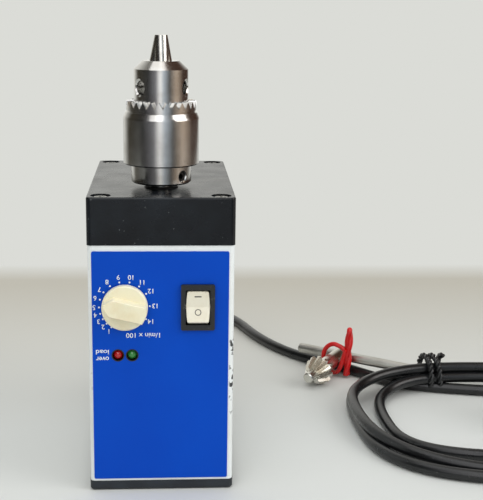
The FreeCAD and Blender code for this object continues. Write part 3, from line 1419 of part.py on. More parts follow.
def chuck_sleeve():
    """The turned sleeve with the crown of key teeth on its rim."""
    base = CHUCK_BASE
    low = base + SLEEVE_FROM_BASE
    chamfer = 0.6
    inner_rim = NOSE_RADIUS + RIM_CLEARANCE
    profile = [
        (COLLAR_RADIUS + RUNNING, low),
        (SLEEVE_RADIUS - chamfer, low),
        (SLEEVE_RADIUS, low + chamfer),
        (SLEEVE_RADIUS, base + SLEEVE_BAND_TOP),
        (SLEEVE_CONE_RADIUS, base + SLEEVE_CONE_TOP),
        (RIM_NECK_RADIUS, base + SLEEVE_CONE_TOP),
        (RIM_NECK_RADIUS, base + RIM_LOW),
        (RIM_RADIUS, base + RIM_LOW),
        (RIM_RADIUS, base + RIM_TOP),
        (inner_rim, base + RIM_TOP),
        (inner_rim, base + NUT_HIGH),
        (SLEEVE_BORE_RADIUS - 1.2, base + NUT_HIGH),
        (SLEEVE_BORE_RADIUS - 1.2, base + NUT_LOW),
        (SLEEVE_BORE_RADIUS, base + NUT_LOW),
        (SLEEVE_BORE_RADIUS, low + SLEEVE_LIP),
        (COLLAR_RADIUS + RUNNING, low + SLEEVE_LIP),
    ]
    sleeve = lathe(profile)
    shoulder = [
        edge for edge in sleeve.Edges
        if abs(edge.CenterOfMass.z - base - SLEEVE_BAND_TOP) < 1e-6
        and edge.BoundBox.XLength > 2 * SLEEVE_BORE_RADIUS
    ]
    sleeve = sleeve.makeFillet(SLEEVE_SHOULDER, shoulder)
    notches = []
    for i in range(RIM_TEETH):
        notch = rim_notch(RIM_RADIUS, inner_rim, base + RIM_TOP)
        notches.append(at_azimuth(notch, RIM_PHASE + i * 360 / RIM_TEETH))
    return on_spindle(without(sleeve, notches))


def chuck_nut():
    """The split nut, pressed into the sleeve round the backs of the jaws."""
    low, high = CHUCK_BASE + NUT_LOW, CHUCK_BASE + NUT_HIGH
    lean = math.cos(math.radians(JAW_LEAN))

    def inner(height):
        return jaw_axis_radius(height) + JAW_RADIUS / lean + RUNNING

    outer = SLEEVE_BORE_RADIUS - 1.2 - FIT
    nut = lathe([(inner(low), low), (outer, low), (outer, high), (inner(high), high)])
    split = block(-outer - 1, outer + 1, -NUT_SPLIT / 2, NUT_SPLIT / 2, low - 1, high + 1)
    nut = nut.cut(split)
    return on_spindle(nut).Solids


def chuck_jaw(azimuth):
    """A leaning rod with a wedge-shaped inner side, flat at both ends."""
    high = CHUCK_TOP + JAW_REACH
    low = high - JAW_LENGTH
    rod = jaw_rod(JAW_RADIUS, low - 2, high + 2)
    reach = 3 * SLEEVE_RADIUS
    half = math.radians(180 / JAW_COUNT)
    start = JAW_GAP / math.sin(half)
    corners = [
        V(0, -start, low),
        V(-reach * math.sin(half), -start - reach * math.cos(half), low),
        V(reach * math.sin(half), -start - reach * math.cos(half), low),
    ]
    sector = Part.Face(Part.makePolygon(corners + corners[:1])).extrude(V(0, 0, high - low))
    return on_spindle(at_azimuth(rod.common(sector), azimuth))


# Cord, coil, ties and plug
def cord_route():
    return [V(GLAND_X, CORD_START_Y, GLAND_Z)] + [V(*point) for point in CORD_ROUTE]


def smooth_path(points):
    """Straight runs joined by tangent arcs, each as large as its two runs allow."""
    curves, radii = [], []
    at = points[0]
    for before, corner, after in zip(points, points[1:], points[2:]):
        into = (corner - before).normalize()
        out = (after - corner).normalize()
        turn = into.getAngle(out)
        trim = 0.45 * min((corner - before).Length, (after - corner).Length)
        radius = trim / math.tan(turn / 2)
        start, end = corner - into * trim, corner + out * trim
        towards = (out - into).normalize()
        middle = corner + towards * (radius / math.cos(turn / 2) - radius)
        curves.append(Part.LineSegment(at, start).toShape())
        curves.append(Part.Arc(start, middle, end).toShape())
        radii.append(radius)
        at = end
    curves.append(Part.LineSegment(at, points[-1]).toShape())
    return Part.Wire(curves), radii


def power_cord(coil):
    path, radii = smooth_path(cord_route())
    print("cord radii", [round(radius, 1) for radius in radii])
    start = path.Edges[0].Vertexes[0].Point
    section = Part.Wire([Part.makeCircle(CORD_RADIUS, start, V(0, 1, 0))])
    tube = path.makePipeShell([section], True, False)
    expected = math.pi * CORD_RADIUS**2 * path.Length
    print(f"cord tube {path.Length:.0f} mm, volume {tube.Volume / expected:.4f} of section x length")
    return tube.cut(coil)


def cord_coil():
    """The coil's outer shape: a flat oval ring, with a second layer where the turns bunch."""
    def oval(low, high):
        outer = rounded_block(
            COIL_LEFT, COIL_RIGHT, COIL_FRONT, COIL_BACK, low, high, COIL_CORNER
        )
        eye = rounded_block(
            COIL_EYE_LEFT, COIL_EYE_RIGHT, COIL_EYE_FRONT, COIL_EYE_BACK, low, high, COIL_EYE_CORNER
        )
        return outer.cut(eye)

    lower = oval(0.0, COIL_LAYER)
    upper = oval(COIL_LAYER, 2 * COIL_LAYER)
    beyond = block(COIL_UPPER_FROM_X, COIL_RIGHT, COIL_FRONT, COIL_BACK, 0, 3 * COIL_LAYER)
    return fused([lower, upper.common(beyond)])


def cord_tie():
    """Wire wound round the bundle of turns, left as one band that clears the coil."""
    low = COIL_LAYER + TIE_GAP
    front, back = COIL_EYE_BACK - TIE_GAP, COIL_BACK + TIE_GAP
    left, right = TIE_X - TIE_BAND / 2, TIE_X + TIE_BAND / 2
    grow = TIE_THICKNESS
    outer = block(left, right, front - grow, back + grow, 0.0, low + grow)
    return outer.cut(block(left, right, front, back, -1, low))


def plug():
    """A moulded mains plug, resting on the rim of its face and on the end of its boot."""
    body = [
        (0, 0),
        (PLUG_RADIUS, 0),
        (PLUG_RADIUS, PLUG_FACE),
        (PLUG_WAIST_RADIUS, PLUG_FACE + 9),
        (PLUG_WAIST_RADIUS - 2, PLUG_BODY_LENGTH),
        (PLUG_BOOT_RADIUS, PLUG_BODY_LENGTH + 1),
        (PLUG_BOOT_END_RADIUS, PLUG_BODY_LENGTH + PLUG_BOOT_LENGTH),
        (0, PLUG_BODY_LENGTH + PLUG_BOOT_LENGTH),
    ]
    holes = [post(PIN_RADIUS + FIT, -1, 8, x) for x in (-PIN_SPACING / 2, PIN_SPACING / 2)]
    return lay_plug(without(lathe(body), holes))


def plug_pins():
    pins = []
    for x in (-PIN_SPACING / 2, PIN_SPACING / 2):
        pin = post(PIN_RADIUS, -PIN_LENGTH, 8, x)
        tip = [edge for edge in pin.Edges if abs(edge.CenterOfMass.z + PIN_LENGTH) < 1e-6]
        pins.append(lay_plug(pin.makeFillet(PIN_RADIUS * 0.6, tip)))
    return pins


def lay_plug(shape):
    """Turns the plug so that its boot points to +X and sinks to the floor."""
    length = PLUG_BODY_LENGTH + PLUG_BOOT_LENGTH
    dip = math.atan((PLUG_RADIUS - PLUG_BOOT_END_RADIUS) / (length - PLUG_FACE))
    shape.rotate(V(0, 0, 0), V(0, 0, 1), 90)
    shape.rotate(V(0, 0, 0), V(0, 1, 0), 90 + math.degrees(dip))
    rim_height = PLUG_RADIUS * math.cos(dip) + PLUG_FACE * math.sin(dip)
    shape.translate(V(PLUG_END_X - length * math.cos(dip), PLUG_Y, rim_height))
    return shape


# Chuck key, its bar and the tie that holds it to the cord
def lay_key(shape):
    """Lays a shape made along +Z from the bar's hole, with the bar along X, on the cord.

    The shaft rests on the cord and dips until the rim of its pinion meets the floor.
    """
    reach = KEY_PINION_START + KEY_PINION_BACK
    rim = math.hypot(reach, KEY_PINION_RADIUS)
    dip = math.asin(KEY_BAR_Z / rim) - math.atan2(KEY_PINION_RADIUS, reach)
    shape.rotate(V(0, 0, 0), V(0, 0, 1), 90)
    shape.rotate(V(0, 0, 0), V(0, 1, 0), 90 + math.degrees(dip))
    shape.rotate(V(0, 0, 0), V(0, 0, 1), KEY_HEADING)
    shape.translate(V(KEY_X, KEY_Y, KEY_BAR_Z))
    return shape


def chuck_key():
    start = KEY_PINION_START
    back, front = start + KEY_PINION_BACK, start + KEY_PINION_BACK + KEY_PINION_LENGTH
    chamfer = 0.6
    shaft = lathe(
        [
            (0, -KEY_HEAD_REACH),
            (KEY_SHAFT_RADIUS - chamfer, -KEY_HEAD_REACH),
            (KEY_SHAFT_RADIUS, -KEY_HEAD_REACH + chamfer),
            (KEY_SHAFT_RADIUS, start),
            (KEY_PINION_RADIUS, start),
            (KEY_PINION_RADIUS, back),
            (KEY_PINION_NOSE_RADIUS, front),
            (KEY_PILOT_RADIUS, front),
            (KEY_PILOT_RADIUS, front + KEY_PILOT_LENGTH - chamfer),
            (KEY_PILOT_RADIUS - chamfer, front + KEY_PILOT_LENGTH),
            (0, front + KEY_PILOT_LENGTH),
        ]
    )
    slope = math.atan((KEY_PINION_RADIUS - KEY_PINION_NOSE_RADIUS) / KEY_PINION_LENGTH)
    notches = []
    for i in range(KEY_TEETH):
        half = KEY_PINION_RADIUS * math.sin(math.pi / KEY_TEETH) * 0.8
        corners = [V(-half, 0, 0), V(half, 0, 0), V(0, KEY_TOOTH_DEPTH, 0)]
        wedge = Part.Face(Part.makePolygon(corners + corners[:1])).extrude(V(0, 0, 20))
        wedge.translate(V(0, -KEY_PINION_RADIUS - 0.2, -5 - KEY_PINION_BACK))
        wedge.rotate(V(0, -KEY_PINION_RADIUS, 0), V(1, 0, 0), -math.degrees(slope))
        wedge.translate(V(0, 0, back))
        notches.append(at_azimuth(wedge, i * 360 / KEY_TEETH))
    reach = KEY_SHAFT_RADIUS + 1
    hole = Part.makeCylinder(KEY_BAR_RADIUS + RUNNING, 2 * reach, V(-reach, 0, 0), V(1, 0, 0))
    notches = [notch.common(block(-20, 20, -20, 20, start, front + 0.01)) for notch in notches]
    return lay_key(without(shaft, notches + [hole]))


def key_bar():
    length = KEY_BAR_LEFT + KEY_BAR_RIGHT
    bar = post(KEY_BAR_RADIUS, 0.0, length)
    ends = [edge for edge in bar.Edges if edge.Curve.TypeId == "Part::GeomCircle"]
    bar = bar.makeChamfer(KEY_BAR_CHAMFER, ends)
    bar.rotate(V(0, 0, 0), V(0, 1, 0), 90)
    bar.translate(V(-KEY_BAR_LEFT, 0, 0))
    return lay_key(bar)


def key_tie():
    """The plastic tie: a band round the key's shaft and its twisted tail on end beside it."""
    ring_radius = KEY_SHAFT_RADIUS + EASY + KEY_TIE_BAND_RADIUS
    band = lay_key(Part.makeTorus(ring_radius, KEY_TIE_BAND_RADIUS, V(0, 0, KEY_TIE_FROM_BAR)))
    aside = ring_radius + KEY_TIE_BAND_RADIUS + KEY_TIE_RADIUS - KEY_TIE_SUNK
    foot = lay_key(Part.Vertex(V(aside, 0, KEY_TIE_FROM_BAR))).Point
    high = KEY_TIE_TOP - KEY_TIE_RADIUS
    stem = post(KEY_TIE_RADIUS, 0.0, high, foot.x, foot.y)
    looped_end = Part.makeSphere(KEY_TIE_RADIUS * 1.2, V(foot.x, foot.y, high))
    return fused([band, stem, looped_end])


save("base_cap", base_cap())
save("base_screws", *base_screws())
save("housing_shell", housing_shell())
save("front_panel", front_panel())
save("head_block", head_block())
save("head_screws", *head_screws())
save("gear_plate", gear_plate())
save("plate_screws", *plate_screws())
top_outer, top_inner = ball_bearing(
    SPINDLE_RADIUS, TOP_BEARING_OUTER, TOP_BEARING_LOW, TOP_BEARING_WIDTH
)
foot_outer, foot_inner = ball_bearing(
    SPINDLE_FOOT_RADIUS, FOOT_BEARING_OUTER, FOOT_BEARING_LOW, FOOT_BEARING_WIDTH
)
save("bearing_outer_rings", top_outer, foot_outer)
save("bearing_inner_rings", top_inner, foot_inner)
save("shaft_seal", shaft_seal())
save("spindle", spindle())
save("spindle_gear", spindle_gear())
save("gear_key", gear_key())
save("motor_can", motor_can())
save("motor_end_bell", motor_end_bell())
save("motor_bushes", *motor_bushes())
save("motor_magnets", *motor_magnets())
save("motor_brushes", *motor_brushes())
save("motor_screws", *motor_screws())
save("motor_shaft", motor_shaft())
save("motor_armature", motor_armature())
save("motor_commutator", motor_commutator())
save("motor_pinion", motor_pinion())
save("circuit_board", circuit_board())
save("board_standoffs", *board_standoffs())
save("board_screws", *board_screws())
save("transformer", transformer())
save("capacitors", *capacitors())
save("heat_sink", heat_sink())
save("terminal_block", terminal_block())
save("potentiometer", potentiometer())
save("potentiometer_nut", potentiometer_nut())
save("potentiometer_shaft", potentiometer_shaft())
save("speed_knob", speed_knob())
save("switch_body", switch_body())
save("switch_terminals", *switch_terminals())
save("rocker", rocker())
save("red_led", indicator(RED_LED_X))
save("green_led", indicator(GREEN_LED_X))
save("led_bezels", *led_bezels())
save("rod_socket", rod_socket())
save("rod_socket_screws", *rod_socket_screws())
save("cord_gland", cord_gland())
save("gland_nut", gland_nut())
save("chuck_body", chuck_body())
save("chuck_set_screw", chuck_set_screw())
save("chuck_sleeve", chuck_sleeve())
save("chuck_nut", *chuck_nut())
for number, azimuth in enumerate(jaw_azimuths(), start=1):
    save(f"chuck_jaw_{number}", chuck_jaw(azimuth))
coil_shape = save("cord_coil", cord_coil())
save("power_cord", power_cord(coil_shape))
save("cord_tie", cord_tie())
save("plug", plug())
save("plug_pins", *plug_pins())
save("chuck_key", chuck_key())
save("key_bar", key_bar())
save("key_tie", key_tie())
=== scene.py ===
import bmesh
import bpy
import math
from mathutils import Matrix, Vector


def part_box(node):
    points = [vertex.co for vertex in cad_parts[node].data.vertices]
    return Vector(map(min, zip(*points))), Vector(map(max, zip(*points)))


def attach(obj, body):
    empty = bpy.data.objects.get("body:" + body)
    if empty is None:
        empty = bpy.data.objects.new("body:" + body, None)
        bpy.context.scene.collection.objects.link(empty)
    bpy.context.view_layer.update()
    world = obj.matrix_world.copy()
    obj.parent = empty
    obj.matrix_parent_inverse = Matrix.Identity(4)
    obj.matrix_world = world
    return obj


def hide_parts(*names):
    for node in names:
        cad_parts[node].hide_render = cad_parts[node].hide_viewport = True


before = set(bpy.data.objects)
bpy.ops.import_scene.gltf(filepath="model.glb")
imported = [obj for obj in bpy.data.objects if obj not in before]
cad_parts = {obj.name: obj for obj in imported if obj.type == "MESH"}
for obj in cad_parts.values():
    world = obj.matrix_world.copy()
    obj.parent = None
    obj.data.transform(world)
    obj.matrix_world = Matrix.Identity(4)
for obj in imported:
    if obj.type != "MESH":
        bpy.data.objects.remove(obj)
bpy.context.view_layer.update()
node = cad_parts
mm = 0.001

# The cap is the moulded black lid of the housing. The stirrer is stored
# standing on it, so it has scuffs and dust; four countersunk screws hold it
# from below.
def paint(red, green, blue):
    """A colour picked on a screen, 0 to 255, as the renderer's linear light."""
    def channel(value):
        share = value / 255
        return share / 12.92 if share <= 0.04045 else ((share + 0.055) / 1.055) ** 2.4

    return channel(red), channel(green), channel(blue), 1.0


def start_finish(name, colour, roughness, metallic=0.0):
    """A new material with one even colour, roughness and share of metal."""
    material = bpy.data.materials.new(name)
    material.use_nodes = True
    shader = material.node_tree.nodes["Principled BSDF"]
    shader.inputs["Base Color"].default_value = colour
    shader.inputs["Roughness"].default_value = roughness
    shader.inputs["Metallic"].default_value = metallic
    return material


def place_on(material, stretch=(1, 1, 1)):
    """The piece's own coordinates in metres, stretched along an axis if wanted."""
    tree = material.node_tree
    place = tree.nodes.new("ShaderNodeTexCoord")
    scaled = tree.nodes.new("ShaderNodeVectorMath")
    scaled.operation = "MULTIPLY"
    scaled.inputs[1].default_value = stretch
    tree.links.new(place.outputs["Object"], scaled.inputs[0])
    return scaled.outputs["Vector"]


def clouds(material, per_metre, detail=3.0, stretch=(1, 1, 1)):
    """Soft patches of light and dark that stay on the piece."""
    tree = material.node_tree
    noise = tree.nodes.new("ShaderNodeTexNoise")
    noise.inputs["Scale"].default_value = per_metre
    noise.inputs["Detail"].default_value = detail
    tree.links.new(place_on(material, stretch), noise.inputs["Vector"])
    return noise.outputs["Fac"]


def between(material, factor, low, high, start=0.0, end=1.0):
    """Takes a factor from start..end to low..high."""
    tree = material.node_tree
    ranged = tree.nodes.new("ShaderNodeMapRange")
    ranged.inputs["From Min"].default_value = start
    ranged.inputs["From Max"].default_value = end
    ranged.inputs["To Min"].default_value = low
    ranged.inputs["To Max"].default_value = high
    tree.links.new(factor, ranged.inputs["Value"])
    return ranged.outputs["Result"]


def colour_over(material, factor, colour, amount=1.0):
    """Lays a second colour over what the shader's colour already is, where factor is high."""
    tree = material.node_tree
    target = tree.nodes["Principled BSDF"].inputs["Base Color"]
    mix = tree.nodes.new("ShaderNodeMix")
    mix.data_type = "RGBA"
    if target.is_linked:
        tree.links.new(target.links[0].from_socket, mix.inputs["A"])
    else:
        mix.inputs["A"].default_value = target.default_value
    mix.inputs["B"].default_value = colour
    tree.links.new(between(material, factor, 0.0, amount), mix.inputs["Factor"])
    tree.links.new(mix.outputs["Result"], target)


def stain(material, per_metre, detail, start, end, colour, amount):
    """Patches of a second colour, where clouds of this scale rise from start to end."""
    patches = between(material, clouds(material, per_metre, detail), 0, 1, start, end)
    colour_over(material, patches, colour, amount)


def roughness_from(material, factor, low, high):
    """Lets the roughness wander between low and high."""
    tree = material.node_tree
    target = tree.nodes["Principled BSDF"].inputs["Roughness"]
    tree.links.new(between(material, factor, low, high), target)


def relief(material, height, depth):
    """Raises the surface by up to depth, in metres, where height is 1."""
    tree = material.node_tree
    bump = tree.nodes.new("ShaderNodeBump")
    bump.inputs["Distance"].default_value = depth
    bump.inputs["Strength"].default_value = 1.0
    target = tree.nodes["Principled BSDF"].inputs["Normal"]
    if target.is_linked:
        tree.links.new(target.links[0].from_socket, bump.inputs["Normal"])
    tree.links.new(height, bump.inputs["Height"])
    tree.links.new(bump.outputs["Normal"], target)


def dress(material, *names):
    """Gives CAD nodes their material."""
    for name in names:
        mesh = node[name].data
        mesh.materials.clear()
        mesh.materials.append(material)


black_moulding = start_finish("black_moulding", paint(20, 25, 31), 0.42)
stain(black_moulding, 55, 5, 0.45, 0.75, paint(44, 52, 60), 0.7)
stain(black_moulding, 520, 2, 0.74, 0.8, paint(120, 124, 126), 0.5)
roughness_from(black_moulding, clouds(black_moulding, 70, 4), 0.32, 0.56)
relief(black_moulding, clouds(black_moulding, 1500, 2), 0.00003)
dress(black_moulding, "base_cap")

steel_screw = start_finish("zinc_plated_screw", paint(188, 188, 184), 0.3, 1.0)
stain(steel_screw, 400, 3, 0.5, 0.7, paint(120, 112, 100), 0.6)
roughness_from(steel_screw, clouds(steel_screw, 900, 3), 0.22, 0.5)
dress(steel_screw, "base_screws", "head_screws", "plate_screws", "motor_screws", "board_screws",
      "rod_socket_screws")

# The shell is a drawn steel tube with white enamel. Its right front edge has
# been knocked, so small chips show the grey metal; the inside is not seen.
white_enamel = start_finish("white_enamel", paint(226, 230, 231), 0.33)
stain(white_enamel, 30, 4, 0.45, 0.7, paint(212, 214, 210), 0.8)
stain(white_enamel, 300, 6, 0.66, 0.72, paint(150, 150, 146), 0.35)


def product(material, first, second):
    """The two factors multiplied."""
    tree = material.node_tree
    both = tree.nodes.new("ShaderNodeMath")
    both.operation = "MULTIPLY"
    both.use_clamp = True
    tree.links.new(first, both.inputs[0])
    tree.links.new(second, both.inputs[1])
    return both.outputs["Value"]


shell_half_width, shell_half_depth = 33.3 * mm, 57.3 * mm
knock_low, knock_high, knock_fade, knock_reach = 34 * mm, 80 * mm, 8 * mm, 2.6 * mm


def near_knocked_edge(material, half_width, half_depth, reach):
    """1 on the shell's right front edge at mid height, and 0 further than reach from it."""
    tree = material.node_tree
    parts = tree.nodes.new("ShaderNodeSeparateXYZ")
    tree.links.new(place_on(material), parts.inputs["Vector"])
    right = between(material, parts.outputs["X"], 0.0, 1.0, half_width - reach, half_width)
    front = between(material, parts.outputs["Y"], 0.0, 1.0, reach - half_depth, -half_depth)
    low = between(material, parts.outputs["Z"], 0.0, 1.0, knock_low, knock_low + knock_fade)
    high = between(material, parts.outputs["Z"], 0.0, 1.0, knock_high, knock_high - knock_fade)
    return product(material, product(material, right, front), product(material, low, high))


knocked = near_knocked_edge(white_enamel, shell_half_width, shell_half_depth, knock_reach)
enamel_edge = between(white_enamel, knocked, 0, 1, 0.15, 0.4)
enamel_chips = between(white_enamel, clouds(white_enamel, 330, 5), 0, 1, 0.57, 0.6)
colour_over(white_enamel, product(white_enamel, enamel_edge, enamel_chips), paint(58, 60, 62))
relief(white_enamel, clouds(white_enamel, 240, 2), 0.00004)
dress(white_enamel, "housing_shell")

# The panel is a blue printed foil, glued to the shell's front, with a faint
# orange-peel surface. Its lettering is upside down in this pose.
blue_foil = start_finish("blue_foil", paint(3, 68, 182), 0.36)
blue_foil.node_tree.nodes["Principled BSDF"].inputs["Specular IOR Level"].default_value = 0.1
stain(blue_foil, 24, 3, 0.4, 0.7, paint(2, 74, 190), 0.7)
roughness_from(blue_foil, clouds(blue_foil, 160, 3), 0.3, 0.44)
relief(blue_foil, clouds(blue_foil, 900, 2), 0.00003)
dress(blue_foil, "front_panel")

panel_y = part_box("front_panel")[0].y
print_thickness = 0.03 * mm
dial_x, dial_z = -16.75 * mm, 89.9 * mm
dial_dot_circle, dial_dot_radius = 11.5 * mm, 0.42 * mm
dial_figure_circle = 13.8 * mm
figure_height = 2.25 * mm
letter_boldness = 0.012
dial_turns = [31.2, 45.1, 58.7, 72.6, 87.8, 106.2, 125.3, 145.8, 168.9, 192.1, 215.8, 239.2, 269.6, 301.8]


def words(text, height, width=None):
    """Flat lettering as a bmesh, centred, upside down, facing the front."""
    curve = bpy.data.curves.new("lettering", "FONT")
    curve.body = text
    curve.size = 1.0
    curve.resolution_u = 4
    curve.offset = letter_boldness
    shape = bpy.data.objects.new("lettering", curve)
    bpy.context.scene.collection.objects.link(shape)
    flat = bmesh.new()
    flat.from_mesh(bpy.data.meshes.new_from_object(shape))
    bpy.data.objects.remove(shape)
    bpy.data.curves.remove(curve)
    low = Vector([min(v.co[i] for v in flat.verts) for i in range(3)])
    high = Vector([max(v.co[i] for v in flat.verts) for i in range(3)])
    size = high - low
    tall = height / size.y
    wide = width / size.x if width else tall
    flat.transform(Matrix.Translation(-(low + high) / 2))
    flat.transform(Matrix.Diagonal((wide, tall, 1, 1)))
    flat.transform(Matrix.Rotation(math.pi, 4, "Z"))
    flat.transform(Matrix.Rotation(math.pi / 2, 4, "X"))
    return flat


def add_print(whole, flat, x, z, y):
    """Adds flat lettering to the whole print, standing a hair's breadth proud."""
    flat.transform(Matrix.Translation((x, y, z)))
    faces = flat.faces[:]
    raised = bmesh.ops.extrude_face_region(flat, geom=faces)
    points = [item for item in raised["geom"] if isinstance(item, bmesh.types.BMVert)]
    bmesh.ops.translate(flat, vec=(0, -print_thickness, 0), verts=points)
    bmesh.ops.recalc_face_normals(flat, faces=flat.faces)
    mesh = bpy.data.meshes.new("print")
    flat.to_mesh(mesh)
    flat.free()
    whole.from_mesh(mesh)
    bpy.data.meshes.remove(mesh)


def disc(radius, inner=0.0, steps=24):
    """A flat ring or dot that faces the front."""
    flat = bmesh.new()
    rings = []
    for reach in (radius, inner):
        if reach > 0:
            rings.append([
                flat.verts.new((reach * math.sin(2 * math.pi * i / steps), 0,
                                reach * math.cos(2 * math.pi * i / steps)))
                for i in range(steps)
            ])
    if len(rings) == 1:
        flat.faces.new(rings[0])
    else:
        for i in range(steps):
            j = (i + 1) % steps
            flat.faces.new((rings[0][i], rings[0][j], rings[1][j], rings[1][i]))
    return flat


def finish_piece(name, shape, material, body):
    """Turns a bmesh into a piece that rides on a body."""
    mesh = bpy.data.meshes.new(name)
    shape.to_mesh(mesh)
    shape.free()
    mesh.materials.append(material)
    piece = bpy.data.objects.new(name, mesh)
    bpy.context.scene.collection.objects.link(piece)
    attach(piece, body)
    return piece


white_print = start_finish("white_print", paint(232, 236, 240), 0.5)
stain(white_print, 900, 3, 0.55, 0.75, paint(180, 196, 222), 0.6)
panel_print = bmesh.new()
for figure, turn in enumerate(dial_turns, start=1):
    sideways, down = math.sin(math.radians(turn)), math.cos(math.radians(turn))
    add_print(panel_print, disc(dial_dot_radius), dial_x - dial_dot_circle * sideways,
              dial_z - dial_dot_circle * down, panel_y)
    add_print(panel_print, words(str(figure), figure_height), dial_x - dial_figure_circle * sideways,
              dial_z - dial_figure_circle * down, panel_y)
captions = {
    "1/min x 100": {"height": 2.3, "width": 15.5, "x": -8.4, "z": 76.1},
    "over": {"height": 1.7, "width": 5.9, "x": -27.0, "z": 65.2},
    "load": {"height": 2.2, "width": 5.9, "x": -27.0, "z": 68.2},
}
for text, place in captions.items():
    caption = words(text, place["height"] * mm, place["width"] * mm)
    add_print(panel_print, caption, place["x"] * mm, place["z"] * mm, panel_y)
finish_piece("dial_print", panel_print, white_print, "housing")

# The head block is the gearbox housing, moulded in the same black plastic as
# the cap, with faint mottling and a few small pale specks.
head_moulding = start_finish("head_moulding", paint(12, 15, 19), 0.3)
head_moulding.node_tree.nodes["Principled BSDF"].inputs["Specular IOR Level"].default_value = 0.3
stain(head_moulding, 60, 6, 0.42, 0.8, paint(26, 32, 38), 0.75)
stain(head_moulding, 620, 2, 0.73, 0.78, paint(140, 145, 146), 0.6)
roughness_from(head_moulding, clouds(head_moulding, 90, 5), 0.2, 0.36)
relief(head_moulding, clouds(head_moulding, 1400, 2), 0.00003)
dress(head_moulding, "head_block")

# Behind it the spindle runs in two ball bearings under a rubber seal. The
# nylon gear is keyed to it, and the aluminium plate carries the motor.
bearing_steel = start_finish("ground_bearing_steel", paint(178, 178, 176), 0.2, 1.0)
roughness_from(bearing_steel, clouds(bearing_steel, 1200, 3, (1, 1, 8)), 0.14, 0.32)
colour_over(bearing_steel, clouds(bearing_steel, 120, 3), paint(150, 146, 138), 0.5)
dress(bearing_steel, "spindle", "bearing_outer_rings", "bearing_inner_rings", "gear_key", "motor_shaft",
      "chuck_nut")
seal_rubber = start_finish("seal_rubber", paint(22, 23, 24), 0.62)
stain(seal_rubber, 500, 3, 0.5, 0.8, paint(50, 50, 50), 0.6)
relief(seal_rubber, clouds(seal_rubber, 1600, 2), 0.00005)
dress(seal_rubber, "shaft_seal")
gear_nylon = start_finish("gear_nylon", paint(226, 220, 200), 0.45)
gear_nylon.node_tree.nodes["Principled BSDF"].inputs["Subsurface Weight"].default_value = 0.05
colour_over(gear_nylon, clouds(gear_nylon, 160, 3), paint(206, 196, 168), 0.7)
relief(gear_nylon, clouds(gear_nylon, 900, 2), 0.00004)
dress(gear_nylon, "spindle_gear")
cast_aluminium = start_finish("cast_aluminium", paint(170, 172, 174), 0.5, 1.0)
colour_over(cast_aluminium, clouds(cast_aluminium, 300, 4), paint(140, 142, 146), 0.7)
relief(cast_aluminium, clouds(cast_aluminium, 1300, 3), 0.0001)
dress(cast_aluminium, "gear_plate", "heat_sink")

# The motor is a small permanent-magnet motor: a rolled steel can, ferrite
# magnets, a stack of laminations on the shaft, and carbon brushes.
motor_zinc = start_finish("motor_zinc", paint(168, 170, 168), 0.36, 1.0)
stain(motor_zinc, 120, 5, 0.4, 0.7, paint(196, 198, 196), 0.8)
roughness_from(motor_zinc, clouds(motor_zinc, 200, 3), 0.28, 0.46)
dress(motor_zinc, "motor_can")
motor_plastic = start_finish("motor_plastic", paint(38, 40, 42), 0.5)
colour_over(motor_plastic, clouds(motor_plastic, 200, 3), paint(54, 56, 58), 0.6)
relief(motor_plastic, clouds(motor_plastic, 1200, 2), 0.00004)
dress(motor_plastic, "motor_end_bell")
sintered_bronze = start_finish("sintered_bronze", paint(150, 112, 70), 0.55, 1.0)
relief(sintered_bronze, clouds(sintered_bronze, 2600, 2), 0.00006)
colour_over(sintered_bronze, clouds(sintered_bronze, 700, 2), paint(112, 84, 54), 0.7)
dress(sintered_bronze, "motor_bushes")
ferrite = start_finish("ferrite", paint(52, 52, 54), 0.7)
relief(ferrite, clouds(ferrite, 1800, 3), 0.00008)
colour_over(ferrite, clouds(ferrite, 260, 3), paint(66, 64, 62), 0.6)
dress(ferrite, "motor_magnets", "motor_brushes")
laminations = start_finish("stacked_laminations", paint(112, 112, 116), 0.42, 0.9)
sheet_edges = laminations.node_tree.nodes.new("ShaderNodeTexWave")
sheet_edges.bands_direction = "Z"
sheet_edges.inputs["Scale"].default_value = 300
laminations.node_tree.links.new(place_on(laminations), sheet_edges.inputs["Vector"])
relief(laminations, sheet_edges.outputs["Fac"], 0.00008)
colour_over(laminations, clouds(laminations, 300, 3), paint(90, 84, 78), 0.6)
dress(laminations, "motor_armature", "transformer")
copper_bars = start_finish("copper_bars", paint(196, 120, 84), 0.3, 1.0)
roughness_from(copper_bars, clouds(copper_bars, 1500, 3), 0.2, 0.44)
colour_over(copper_bars, clouds(copper_bars, 500, 3), paint(130, 76, 56), 0.6)
dress(copper_bars, "motor_commutator")
turned_brass = start_finish("turned_brass", paint(206, 172, 104), 0.28, 1.0)
roughness_from(turned_brass, clouds(turned_brass, 1300, 3), 0.2, 0.4)
colour_over(turned_brass, clouds(turned_brass, 300, 3), paint(170, 136, 76), 0.5)
dress(turned_brass, "motor_pinion", "potentiometer_nut", "switch_terminals", "board_standoffs")

